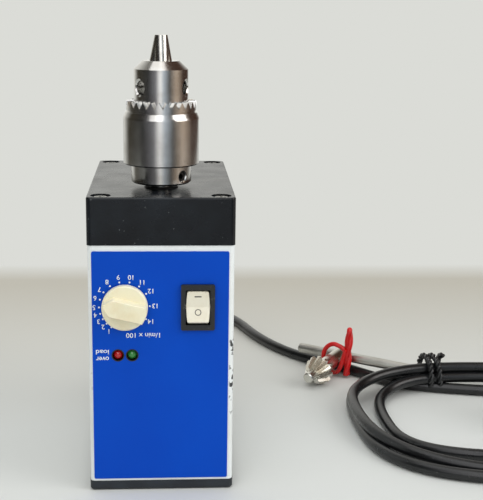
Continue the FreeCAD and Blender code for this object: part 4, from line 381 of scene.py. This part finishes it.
# The control board stands on four pillars behind the panel. It carries a
# transformer, capacitors, a heat sink and the terminals for the wires.
board_laminate = start_finish("board_laminate", paint(26, 92, 56), 0.4)
stain(board_laminate, 420, 1, 0.5, 0.54, paint(44, 124, 78), 0.8)
relief(board_laminate, clouds(board_laminate, 1900, 2), 0.00003)
dress(board_laminate, "circuit_board")
capacitor_sleeve = start_finish("capacitor_sleeve", paint(26, 34, 66), 0.28)
colour_over(capacitor_sleeve, clouds(capacitor_sleeve, 220, 2), paint(36, 48, 92), 0.8)
dress(capacitor_sleeve, "capacitors")
terminal_green = start_finish("terminal_green", paint(42, 128, 88), 0.45)
colour_over(terminal_green, clouds(terminal_green, 260, 2), paint(34, 104, 74), 0.7)
dress(terminal_green, "terminal_block")
pot_case = start_finish("potentiometer_case", paint(176, 176, 172), 0.35, 1.0)
roughness_from(pot_case, clouds(pot_case, 700, 3), 0.25, 0.5)
colour_over(pot_case, clouds(pot_case, 200, 2), paint(150, 148, 142), 0.6)
dress(pot_case, "potentiometer", "potentiometer_shaft")

# The speed knob is a cream moulded disc with a pointer grip across it,
# pressed on the potentiometer's shaft. Handling has left it a little yellow.
knob_cream = start_finish("knob_cream", paint(238, 229, 200), 0.4)
knob_cream.node_tree.nodes["Principled BSDF"].inputs["Subsurface Weight"].default_value = 0.06
stain(knob_cream, 140, 4, 0.45, 0.75, paint(226, 208, 168), 0.7)
roughness_from(knob_cream, clouds(knob_cream, 260, 3), 0.32, 0.5)
relief(knob_cream, clouds(knob_cream, 1300, 2), 0.00003)
dress(knob_cream, "speed_knob")

# The switch is a snap-in rocker switch: a black bezel round a warm white
# rocker, whose upper end is pressed in. Its two marks are printed dark.
switch_black = start_finish("switch_black", paint(24, 26, 28), 0.34)
stain(switch_black, 420, 4, 0.6, 0.75, paint(92, 94, 94), 0.5)
roughness_from(switch_black, clouds(switch_black, 300, 3), 0.28, 0.5)
dress(switch_black, "switch_body")
rocker_white = start_finish("rocker_white", paint(222, 217, 200), 0.3)
stain(rocker_white, 180, 3, 0.4, 0.75, paint(212, 202, 180), 0.7)
roughness_from(rocker_white, clouds(rocker_white, 400, 3), 0.24, 0.4)
dress(rocker_white, "rocker")

rocker_pivot = Vector((16.65, -57.35, 89.5)) * mm
rocker_rest_tilt = math.radians(-11.0)
pad_middle, pad_end, pad_reach = -2.7 * mm, -4.0 * mm, 8.3 * mm
pad_slope = math.atan2(pad_end - pad_middle, pad_reach)
mark_places = {"on": 4.8 * mm, "off": -2.35 * mm}
bar_half_width, bar_half_height = 1.55, 0.28
ring_radius, ring_inner = 1.5 * mm, 1.12 * mm
rocker_marks = bmesh.new()
for mark, height in mark_places.items():
    if mark == "on":
        flat = bmesh.new()
        corners = [(-bar_half_width, -bar_half_height), (bar_half_width, -bar_half_height),
                   (bar_half_width, bar_half_height), (-bar_half_width, bar_half_height)]
        flat.faces.new([flat.verts.new((x * mm, 0, z * mm)) for x, z in corners])
    else:
        flat = disc(ring_radius, ring_inner)
    lean = -pad_slope if height > 0 else pad_slope
    flat.transform(Matrix.Rotation(lean, 4, "X"))
    mark_depth = pad_middle + (pad_end - pad_middle) * abs(height) / pad_reach
    flat.transform(Matrix.Translation((0, mark_depth, height)))
    flat.transform(Matrix.Rotation(rocker_rest_tilt, 4, "X"))
    add_print(rocker_marks, flat, rocker_pivot.x, rocker_pivot.z, rocker_pivot.y)
dark_print = start_finish("dark_print", paint(60, 58, 56), 0.5)
colour_over(dark_print, clouds(dark_print, 900, 2), paint(90, 86, 80), 0.5)
finish_piece("rocker_marks", rocker_marks, dark_print, "rocker")

# The two lamps are 5 mm light-emitting diodes in black snap-in rings, with
# their legs soldered to the board. Neither is lit.
def lens_finish(name, colour, glow):
    lens = start_finish(name, colour, 0.12)
    shader = lens.node_tree.nodes["Principled BSDF"]
    shader.inputs["Subsurface Weight"].default_value = 0.3
    shader.inputs["Coat Weight"].default_value = 0.6
    colour_over(lens, clouds(lens, 700, 2), glow, 0.6)
    return lens


dress(lens_finish("red_lens", paint(176, 8, 14), paint(214, 20, 20)), "red_led")
dress(lens_finish("green_lens", paint(36, 116, 48), paint(52, 146, 62)), "green_led")
ring_black = start_finish("lamp_ring_black", paint(20, 21, 23), 0.4)
colour_over(ring_black, clouds(ring_black, 600, 2), paint(34, 36, 38), 0.6)
dress(ring_black, "led_bezels")

# The rod socket is a threaded aluminium boss in the rear wall that takes the
# stand's rod, fixed by two countersunk screws.
socket_aluminium = start_finish("turned_aluminium", paint(190, 192, 194), 0.34, 1.0)
roughness_from(socket_aluminium, clouds(socket_aluminium, 1100, 3), 0.24, 0.46)
colour_over(socket_aluminium, clouds(socket_aluminium, 200, 3), paint(160, 162, 164), 0.5)
dress(socket_aluminium, "rod_socket")

# The mains cord has a black rubber sheath. It leaves the rear wall through a
# bent-proof gland, passes round behind the housing and under the chuck key,
# and lies in a loose coil of three turns that ends in its plug.
gland_black = start_finish("gland_black", paint(22, 23, 25), 0.55)
colour_over(gland_black, clouds(gland_black, 400, 3), paint(38, 39, 41), 0.6)
relief(gland_black, clouds(gland_black, 1300, 2), 0.00005)
dress(gland_black, "cord_gland", "gland_nut")

cord_radius = 3.1 * mm
cord_route = [
    (-12.0, 46.0, 24.0),
    (-12.0, 103.0, 24.0),
    (-15.0, 136.0, 16.0),
    (-19.0, 168.0, 7.0),
    (-19.5, 204.0, 3.4),
    (-8.5, 230.5, 3.2),
    (18.0, 241.5, 3.3),
    (44.5, 230.5, 3.3),
    (55.5, 204.0, 3.3),
    (61.0, 184.0, 3.2),
    (68.0, 166.0, 3.2),
    (76.5, 149.0, 3.2),
    (87.5, 133.0, 3.2),
    (100.8, 121.2, 3.2),
    (114.0, 108.5, 3.2),
    (124.5, 96.0, 3.2),
    (134.5, 84.5, 3.2),
    (148.0, 74.5, 3.2),
]
coil_steps = 24
coil_middle = Vector((204.5, 22.0))
coil_slant = 0.089
lying, stacked = 3.2, 9.4
turn_shapes = [
    {"back": 61.5, "back_z": lying, "right_corner": 4.0, "right": 306.5, "front_corner": 3.5,
     "front": -63.0, "left": 105.7, "left_z": lying, "left_corner": 2.9, "left_climb": 3.0},
    {"back": 79.0, "back_z": stacked, "right_corner": 2.4, "right": 300.0, "front_corner": 3.0,
     "front": -55.0, "left": 105.2, "left_z": 9.0, "left_corner": 2.4, "left_climb": 1.6},
    {"back": 75.0, "back_z": 14.0, "right_corner": 2.3, "right": 293.0, "front_corner": 3.85,
     "front": -35.5, "left": 121.3, "left_z": lying, "left_corner": 2.8, "left_climb": 1.6},
]
last_pass = {"back": 72.0, "back_z": 8.7}
right_climb = 4.0


def turn_point(shape, after, turn):
    """A point of a loose turn, which starts at the back, goes right, front and left, and ends as the next."""
    along, across = math.sin(math.radians(turn)), math.cos(math.radians(turn))
    side, side_z = (shape["right"], lying) if along >= 0 else (shape["left"], shape["left_z"])
    if across < 0:
        end, end_z, corner, climb = shape["front"], lying, shape["front_corner"], 1.0
    elif along >= 0:
        end, end_z, corner, climb = shape["back"], shape["back_z"], shape["right_corner"], right_climb
    else:
        end, end_z, corner, climb = after["back"], after["back_z"], shape["left_corner"], shape["left_climb"]
    x = coil_middle.x + (side - coil_middle.x) * abs(along) ** (2 / corner)
    y = coil_middle.y + (end - coil_middle.y) * abs(across) ** (2 / corner)
    y += coil_slant * (coil_middle.x - x)
    share = min(1.0, climb * across * across)
    return x, y, side_z * (1 - share) + end_z * share


coil_points = []
for shape, after in zip(turn_shapes, turn_shapes[1:] + [last_pass]):
    for step in range(coil_steps):
        coil_points.append(turn_point(shape, after, 360 * step / coil_steps))
cord_end = [
    (204.5, 72.0, 8.7),
    (228.0, 66.5, 9.4),
    (248.0, 57.5, 9.6),
    (266.0, 49.0, 8.0),
    (280.0, 41.5, 4.8),
    (286.0, 31.0, 3.6),
    (283.5, 20.0, 3.5),
    (274.0, 13.8, 4.0),
    (262.0, 14.0, 4.5),
]
points = cord_route + coil_points + cord_end
cord_curve = bpy.data.curves.new("mains_cord", "CURVE")
cord_curve.dimensions = "3D"
cord_curve.bevel_depth = cord_radius
cord_curve.bevel_resolution = 5
cord_curve.resolution_u = 10
cord_curve.use_fill_caps = True
cord_line = cord_curve.splines.new("NURBS")
cord_line.points.add(len(points) - 1)
for place, point in zip(cord_line.points, points):
    place.co = (point[0] * mm, point[1] * mm, point[2] * mm, 1)
cord_line.order_u = 3
cord_line.use_endpoint_u = True
cord_line.use_smooth = True
mains_cord = bpy.data.objects.new("mains_cord", cord_curve)
bpy.context.scene.collection.objects.link(mains_cord)

cord_rubber = start_finish("cord_rubber", paint(14, 15, 17), 0.3)
stain(cord_rubber, 60, 3, 0.4, 0.8, paint(26, 28, 30), 0.7)
stain(cord_rubber, 700, 2, 0.72, 0.8, paint(96, 96, 94), 0.4)
roughness_from(cord_rubber, clouds(cord_rubber, 120, 4), 0.22, 0.36)
relief(cord_rubber, clouds(cord_rubber, 800, 2), 0.00005)
cord_curve.materials.append(cord_rubber)
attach(mains_cord, "housing")
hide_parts("power_cord", "cord_coil")

# The plug is moulded on the cord's end from the same black rubber, with two
# nickel-plated pins.
dress(cord_rubber, "plug")
dress(steel_screw, "plug_pins")

# The coil is tied with a length of black plastic-covered wire, wound twice
# round the strands and twisted.
loop_squareness = 0.75


def bundle_outline(turn, x, half_deep, half_high, middle_y, middle_z):
    """A point on a rounded loop round the strands."""
    along, across = math.sin(turn), math.cos(turn)
    y = middle_y + half_deep * math.copysign(abs(across) ** loop_squareness, across)
    z = middle_z + half_high * math.copysign(abs(along) ** loop_squareness, along)
    return Vector((x, y, z)) * mm


def smooth_wire(name, path, radius, material, closed=False, sides=3):
    """A round wire along a list of points, one smooth spline."""
    curve = bpy.data.curves.new(name, "CURVE")
    curve.dimensions = "3D"
    curve.bevel_depth = radius
    curve.bevel_resolution = sides
    curve.resolution_u = 6
    curve.use_fill_caps = True
    line = curve.splines.new("NURBS")
    line.points.add(len(path) - 1)
    for place, point in zip(line.points, path):
        place.co = (*point, 1)
    line.order_u = 3
    line.use_endpoint_u = not closed
    line.use_cyclic_u = closed
    curve.materials.append(material)
    wire = bpy.data.objects.new(name, curve)
    bpy.context.scene.collection.objects.link(wire)
    return wire


tie_wire = start_finish("tie_wire_black", paint(16, 17, 18), 0.3)
colour_over(tie_wire, clouds(tie_wire, 500, 2), paint(34, 35, 37), 0.6)
relief(tie_wire, clouds(tie_wire, 1500, 2), 0.00005)
tie_loops, tie_steps = 2.25, 26
tie_from_x, tie_pitch = 155.0, 5.5
bundle = (9.4, 8.9, 78.2, 10.9)
tie_wire_radius, tie_twist_radius, tie_twists_per_loop = 1.0 * mm, 0.95 * mm, 9
tie_wander, tie_wander_rate, look_ahead = 0.6, 0.7, 0.05
for strand in (0, 1):
    path = []
    for step in range(int(tie_loops * tie_steps * 2)):
        turn = 2 * math.pi * step / (tie_steps * 2)
        loop = turn / (2 * math.pi)
        x = tie_from_x + tie_pitch * loop + tie_wander * math.sin(turn * tie_wander_rate)
        here = bundle_outline(turn, x, *bundle)
        ahead = bundle_outline(turn + look_ahead, x, *bundle)
        along = (ahead - here).normalized()
        side = Vector((1, 0, 0))
        out = along.cross(side).normalized()
        twist = turn * tie_twists_per_loop + strand * math.pi
        path.append(here + (side * math.cos(twist) + out * math.sin(twist)) * tie_twist_radius)
    wire = smooth_wire(f"coil_tie_{strand + 1}", path, tie_wire_radius, tie_wire)
    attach(wire, "housing")
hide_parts("cord_tie")

# The chuck is turned from steel: the body on the spindle, the sleeve with its
# crown of teeth, and three jaws. The set screw locks it to the spindle.
def turned_steel(name, light, dark, low, high):
    """Machined steel: smooth, with faint stains and a few small bright knocks."""
    steel = start_finish(name, light, 0.2, 1.0)
    stain(steel, 90, 5, 0.45, 0.75, dark, 0.6)
    stain(steel, 420, 2, 0.74, 0.78, paint(236, 236, 234), 0.5)
    roughness_from(steel, clouds(steel, 150, 4), low, high)
    return steel


chuck_steel = turned_steel("chuck_steel", paint(206, 205, 202), paint(168, 162, 154), 0.16, 0.24)
dress(chuck_steel, "chuck_body", "chuck_sleeve")
jaw_steel = turned_steel("jaw_steel", paint(196, 194, 188), paint(130, 122, 110), 0.16, 0.3)
dress(jaw_steel, "chuck_jaw_1", "chuck_jaw_2", "chuck_jaw_3")
black_oxide = start_finish("black_oxide", paint(42, 42, 44), 0.4, 0.8)
colour_over(black_oxide, clouds(black_oxide, 700, 3), paint(70, 66, 62), 0.5)
dress(black_oxide, "chuck_set_screw")

# The chuck key is nickel-plated steel with a toothed cone and a pilot. Its
# bar slides in a cross hole. Some plating has worn to a warm brown.
key_steel = turned_steel("key_steel", paint(210, 208, 200), paint(158, 142, 116), 0.2, 0.32)
dress(key_steel, "chuck_key")
bar_steel = turned_steel("bar_steel", paint(186, 184, 178), paint(150, 146, 138), 0.26, 0.38)
dress(bar_steel, "key_bar")

# A red plastic-covered wire tie goes once round the key's shaft. Its two ends
# are twisted together upright beside it and folded over in a small head.
red_tie = start_finish("red_tie", paint(206, 16, 18), 0.3)
red_tie.node_tree.nodes["Principled BSDF"].inputs["Subsurface Weight"].default_value = 0.1
colour_over(red_tie, clouds(red_tie, 500, 3), paint(160, 8, 12), 0.6)
relief(red_tie, clouds(red_tie, 1200, 2), 0.0001)
key_hole = Vector((109.9, 109.6, 11.1))
key_heading, key_dip = math.radians(-126.0), math.radians(4.957)
down_shaft = Vector((math.cos(key_heading) * math.cos(key_dip), math.sin(key_heading) * math.cos(key_dip),
                     -math.sin(key_dip)))
across_shaft = Vector((-math.sin(key_heading), math.cos(key_heading), 0))
over_shaft = down_shaft.cross(across_shaft)
strap_radius = 1.4 * mm
strap_path = [
    (7.5, 8.9, 5.0),
    (7.0, 6.6, 7.9),
    (6.7, 3.9, 9.0),
    (6.7, -1.0, 10.2),
    (6.7, -6.0, 6.6),
    (6.9, -8.0, 0.6),
    (7.5, -6.0, -6.0),
    (8.5, -1.0, -8.2),
    (9.7, 3.8, -7.2),
    (10.0, 6.4, -1.5),
    (9.2, 7.6, 3.5),
    (8.3, 8.8, 8.0),
]
strap_points = []
for along, side, up in strap_path:
    strap_points.append((key_hole + down_shaft * along + across_shaft * side + over_shaft * up) * mm)
strap = smooth_wire("key_tie_strap", strap_points, strap_radius, red_tie)
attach(strap, "housing")
stem_foot, stem_lean = Vector((112.9, 98.9, 1.9)), Vector((1.0, 0, 27.0))
stem_radius, stem_twist_radius = 1.7 * mm, 0.9
stem_turns, stem_steps, head_steps = 1.15, 36, 10
head_width, head_height = 1.5, 1.7
stem_first_turn, stem_foot_share, stem_widens_over = 0.4, 0.55, 0.25


def stem_point(share, strand):
    """A point of one strand of the twisted stem, from foot to head."""
    turn = 2 * math.pi * stem_turns * share + strand * math.pi + stem_first_turn
    widened = min(1.0, share / stem_widens_over)
    reach = stem_twist_radius * (stem_foot_share + (1 - stem_foot_share) * widened)
    return stem_foot + stem_lean * share + Vector((reach * math.cos(turn), reach * math.sin(turn), 0))


twist_path = [stem_point(step / stem_steps, 0) for step in range(stem_steps + 1)]
start, end = stem_point(1.0, 0), stem_point(1.0, 1)
for step in range(1, head_steps):
    share = step / head_steps
    swing = math.sin(math.pi * share)
    outward = (start - end) * (head_width - 1) / 2 * math.cos(math.pi * share)
    twist_path.append(start.lerp(end, share) + outward * swing + Vector((0, 0, head_height * swing)))
twist_path += [stem_point(1 - step / stem_steps, 1) for step in range(stem_steps + 1)]
stem = smooth_wire("key_tie_stem", [point * mm for point in twist_path], stem_radius, red_tie)
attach(stem, "housing")
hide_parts("key_tie")

# The stirrer stands on a pale table in front of a pale wall, in soft light
# from the front and above. Towards the back the table's colour is painted darker, as painted shade.
camera_place = Vector((1.477, -554.86, 228.87)) * mm
camera_yaw, camera_pitch, camera_roll = math.radians(4.0), math.radians(-12.745), math.radians(0.808)
camera_lens, camera_sensor = 81.265, 36.0
table_back, table_blur = 371 * mm, 26 * mm
# The far table colour is painted shade, standing in for light that falls off towards the back.
table_colour, table_far_painted_shade = paint(206, 208, 207), paint(186, 182, 172)
wall_colour = paint(219, 220, 215)
painted_falloff_from, painted_falloff_to = 20 * mm, 330 * mm

floor_shape = bmesh.new()
bmesh.ops.create_grid(floor_shape, x_segments=8, y_segments=8, size=6.0)
floor_mesh = bpy.data.meshes.new("table")
floor_shape.to_mesh(floor_mesh)
floor_shape.free()
table = bpy.data.objects.new("table", floor_mesh)
bpy.context.scene.collection.objects.link(table)
table_top = start_finish("table_top", table_colour, 0.6)
tree = table_top.node_tree
glow = tree.nodes.new("ShaderNodeEmission")
glow.inputs["Color"].default_value = wall_colour
parts = tree.nodes.new("ShaderNodeSeparateXYZ")
tree.links.new(place_on(table_top), parts.inputs["Vector"])
# Painted shade: the table's colour darkens from near the stirrer to its back edge.
painted_falloff = between(table_top, parts.outputs["Y"], 0, 1, painted_falloff_from, painted_falloff_to)
colour_over(table_top, painted_falloff, table_far_painted_shade)
beyond = between(table_top, parts.outputs["Y"], 0, 1, table_back - table_blur, table_back + table_blur)
mix = tree.nodes.new("ShaderNodeMixShader")
tree.links.new(beyond, mix.inputs["Fac"])
tree.links.new(tree.nodes["Principled BSDF"].outputs["BSDF"], mix.inputs[1])
tree.links.new(glow.outputs["Emission"], mix.inputs[2])
mirror_ends_y, mirror_ends_x, mirror_fade = -0.3, 0.7, 0.1
rays = tree.nodes.new("ShaderNodeLightPath")
clear = tree.nodes.new("ShaderNodeBsdfTransparent")
sideways = tree.nodes.new("ShaderNodeMath")
sideways.operation = "ABSOLUTE"
tree.links.new(parts.outputs["X"], sideways.inputs[0])
past = tree.nodes.new("ShaderNodeMath")
past.operation = "MAXIMUM"
past_front = between(table_top, parts.outputs["Y"], 0, 1, mirror_ends_y, mirror_ends_y - mirror_fade)
past_side = between(table_top, sideways.outputs["Value"], 0, 1, mirror_ends_x, mirror_ends_x + mirror_fade)
tree.links.new(past_front, past.inputs[0])
tree.links.new(past_side, past.inputs[1])
mirrored_past = product(table_top, rays.outputs["Is Glossy Ray"], past.outputs["Value"])
ended = tree.nodes.new("ShaderNodeMixShader")
tree.links.new(mirrored_past, ended.inputs["Fac"])
tree.links.new(mix.outputs["Shader"], ended.inputs[1])
tree.links.new(clear.outputs["BSDF"], ended.inputs[2])
tree.links.new(ended.outputs["Shader"], tree.nodes["Material Output"].inputs["Surface"])
floor_mesh.materials.append(table_top)

# The room is pale and even where it lights the stirrer. Polished metal mirrors
# a dozen bands of light and dark instead, over a dark floor.
room_light = 0.88
world = bpy.data.worlds.new("room")
bpy.context.scene.world = world
world.use_nodes = True
tree = world.node_tree
background = tree.nodes["Background"]
background.inputs["Color"].default_value = wall_colour
background.inputs["Strength"].default_value = room_light
seen = tree.nodes.new("ShaderNodeBackground")
seen.inputs["Color"].default_value = wall_colour
rays = tree.nodes.new("ShaderNodeLightPath")
pick = tree.nodes.new("ShaderNodeMixShader")
tree.links.new(rays.outputs["Is Camera Ray"], pick.inputs["Fac"])
direction = tree.nodes.new("ShaderNodeTexCoord")
split = tree.nodes.new("ShaderNodeSeparateXYZ")
tree.links.new(direction.outputs["Generated"], split.inputs["Vector"])
towards = tree.nodes.new("ShaderNodeMath")
towards.operation = "ARCTAN2"
backward = tree.nodes.new("ShaderNodeMath")
backward.operation = "MULTIPLY"
backward.inputs[1].default_value = -1.0
tree.links.new(split.outputs["Y"], backward.inputs[0])
tree.links.new(split.outputs["X"], towards.inputs[0])
tree.links.new(backward.outputs["Value"], towards.inputs[1])
round_room = tree.nodes.new("ShaderNodeMapRange")
round_room.inputs["From Min"].default_value = -math.pi
round_room.inputs["From Max"].default_value = math.pi
tree.links.new(towards.outputs["Value"], round_room.inputs["Value"])
room = tree.nodes.new("ShaderNodeValToRGB")
room_stops = [
    (0.0, paint(220, 220, 215)),
    (0.08, paint(210, 210, 205)),
    (0.18, paint(50, 45, 35)),
    (0.34, paint(35, 35, 35)),
    (0.44, paint(110, 110, 115)),
    (0.49, paint(255, 255, 255)),
    (0.53, paint(180, 190, 200)),
    (0.6, paint(80, 80, 80)),
    (0.69, paint(170, 150, 130)),
    (0.79, paint(60, 40, 30)),
    (0.9, paint(60, 40, 30)),
    (1.0, paint(220, 220, 215)),
]
ramp = room.color_ramp
while len(ramp.elements) < len(room_stops):
    ramp.elements.new(0.5)
for element, (position, colour) in zip(ramp.elements, room_stops):
    element.position = position
for element, (position, colour) in zip(ramp.elements, room_stops):
    element.color = colour
tree.links.new(round_room.outputs["Result"], room.inputs["Fac"])
mirrored = tree.nodes.new("ShaderNodeBackground")
room_strength, room_floor_share = 1.5, 0.12
room_floor_low, room_floor_high = -0.22, -0.13
height = tree.nodes.new("ShaderNodeMapRange")
height.inputs["From Min"].default_value = room_floor_low
height.inputs["From Max"].default_value = room_floor_high
height.inputs["To Min"].default_value = room_strength * room_floor_share
height.inputs["To Max"].default_value = room_strength
tree.links.new(split.outputs["Z"], height.inputs["Value"])
tree.links.new(height.outputs["Result"], mirrored.inputs["Strength"])
tree.links.new(room.outputs["Color"], mirrored.inputs["Color"])
glossy = tree.nodes.new("ShaderNodeMixShader")
tree.links.new(rays.outputs["Is Glossy Ray"], glossy.inputs["Fac"])
tree.links.new(background.outputs["Background"], glossy.inputs[1])
tree.links.new(mirrored.outputs["Background"], glossy.inputs[2])
tree.links.new(glossy.outputs["Shader"], pick.inputs[1])
tree.links.new(seen.outputs["Background"], pick.inputs[2])
tree.links.new(pick.outputs["Shader"], tree.nodes["World Output"].inputs["Surface"])


def soft_light(name, place, target, width, height, watts):
    """A rectangular lamp that faces a target."""
    light = bpy.data.lights.new(name, "AREA")
    light.shape = "RECTANGLE"
    light.size, light.size_y = width, height
    light.energy = watts
    lamp = bpy.data.objects.new(name, light)
    lamp.location = place
    lamp.rotation_euler = (Vector(target) - Vector(place)).to_track_quat("-Z", "Y").to_euler()
    bpy.context.scene.collection.objects.link(lamp)


soft_light("ceiling", (-0.25, -0.35, 1.5), target=(0.05, 0.0, 0.05), width=1.3, height=1.3, watts=8)
soft_light("window", (-0.4, -1.4, 0.9), target=(0.0, 0.0, 0.1), width=1.1, height=1.1, watts=5)
soft_light("fill", (1.1, -0.5, 0.7), target=(0.1, 0.0, 0.1), width=0.9, height=0.9, watts=8)

camera = bpy.data.cameras.new("camera")
camera.lens = camera_lens
camera.sensor_width = camera_sensor
camera.clip_start, camera.clip_end = 0.01, 50.0
forward = Vector((math.sin(camera_yaw) * math.cos(camera_pitch),
                  math.cos(camera_yaw) * math.cos(camera_pitch),
                  math.sin(camera_pitch)))
level = Vector((math.cos(camera_yaw), -math.sin(camera_yaw), 0))
upright = level.cross(forward)
right = level * math.cos(camera_roll) + upright * math.sin(camera_roll)
up = upright * math.cos(camera_roll) - level * math.sin(camera_roll)
stand = Matrix((
    (right.x, up.x, -forward.x, camera_place.x),
    (right.y, up.y, -forward.y, camera_place.y),
    (right.z, up.z, -forward.z, camera_place.z),
    (0, 0, 0, 1),
))
camera_object = bpy.data.objects.new("camera", camera)
bpy.context.scene.collection.objects.link(camera_object)
camera_object.matrix_world = stand
bpy.context.scene.camera = camera_object
bpy.context.scene.view_settings.view_transform = "Standard"

bpy.context.view_layer.update()
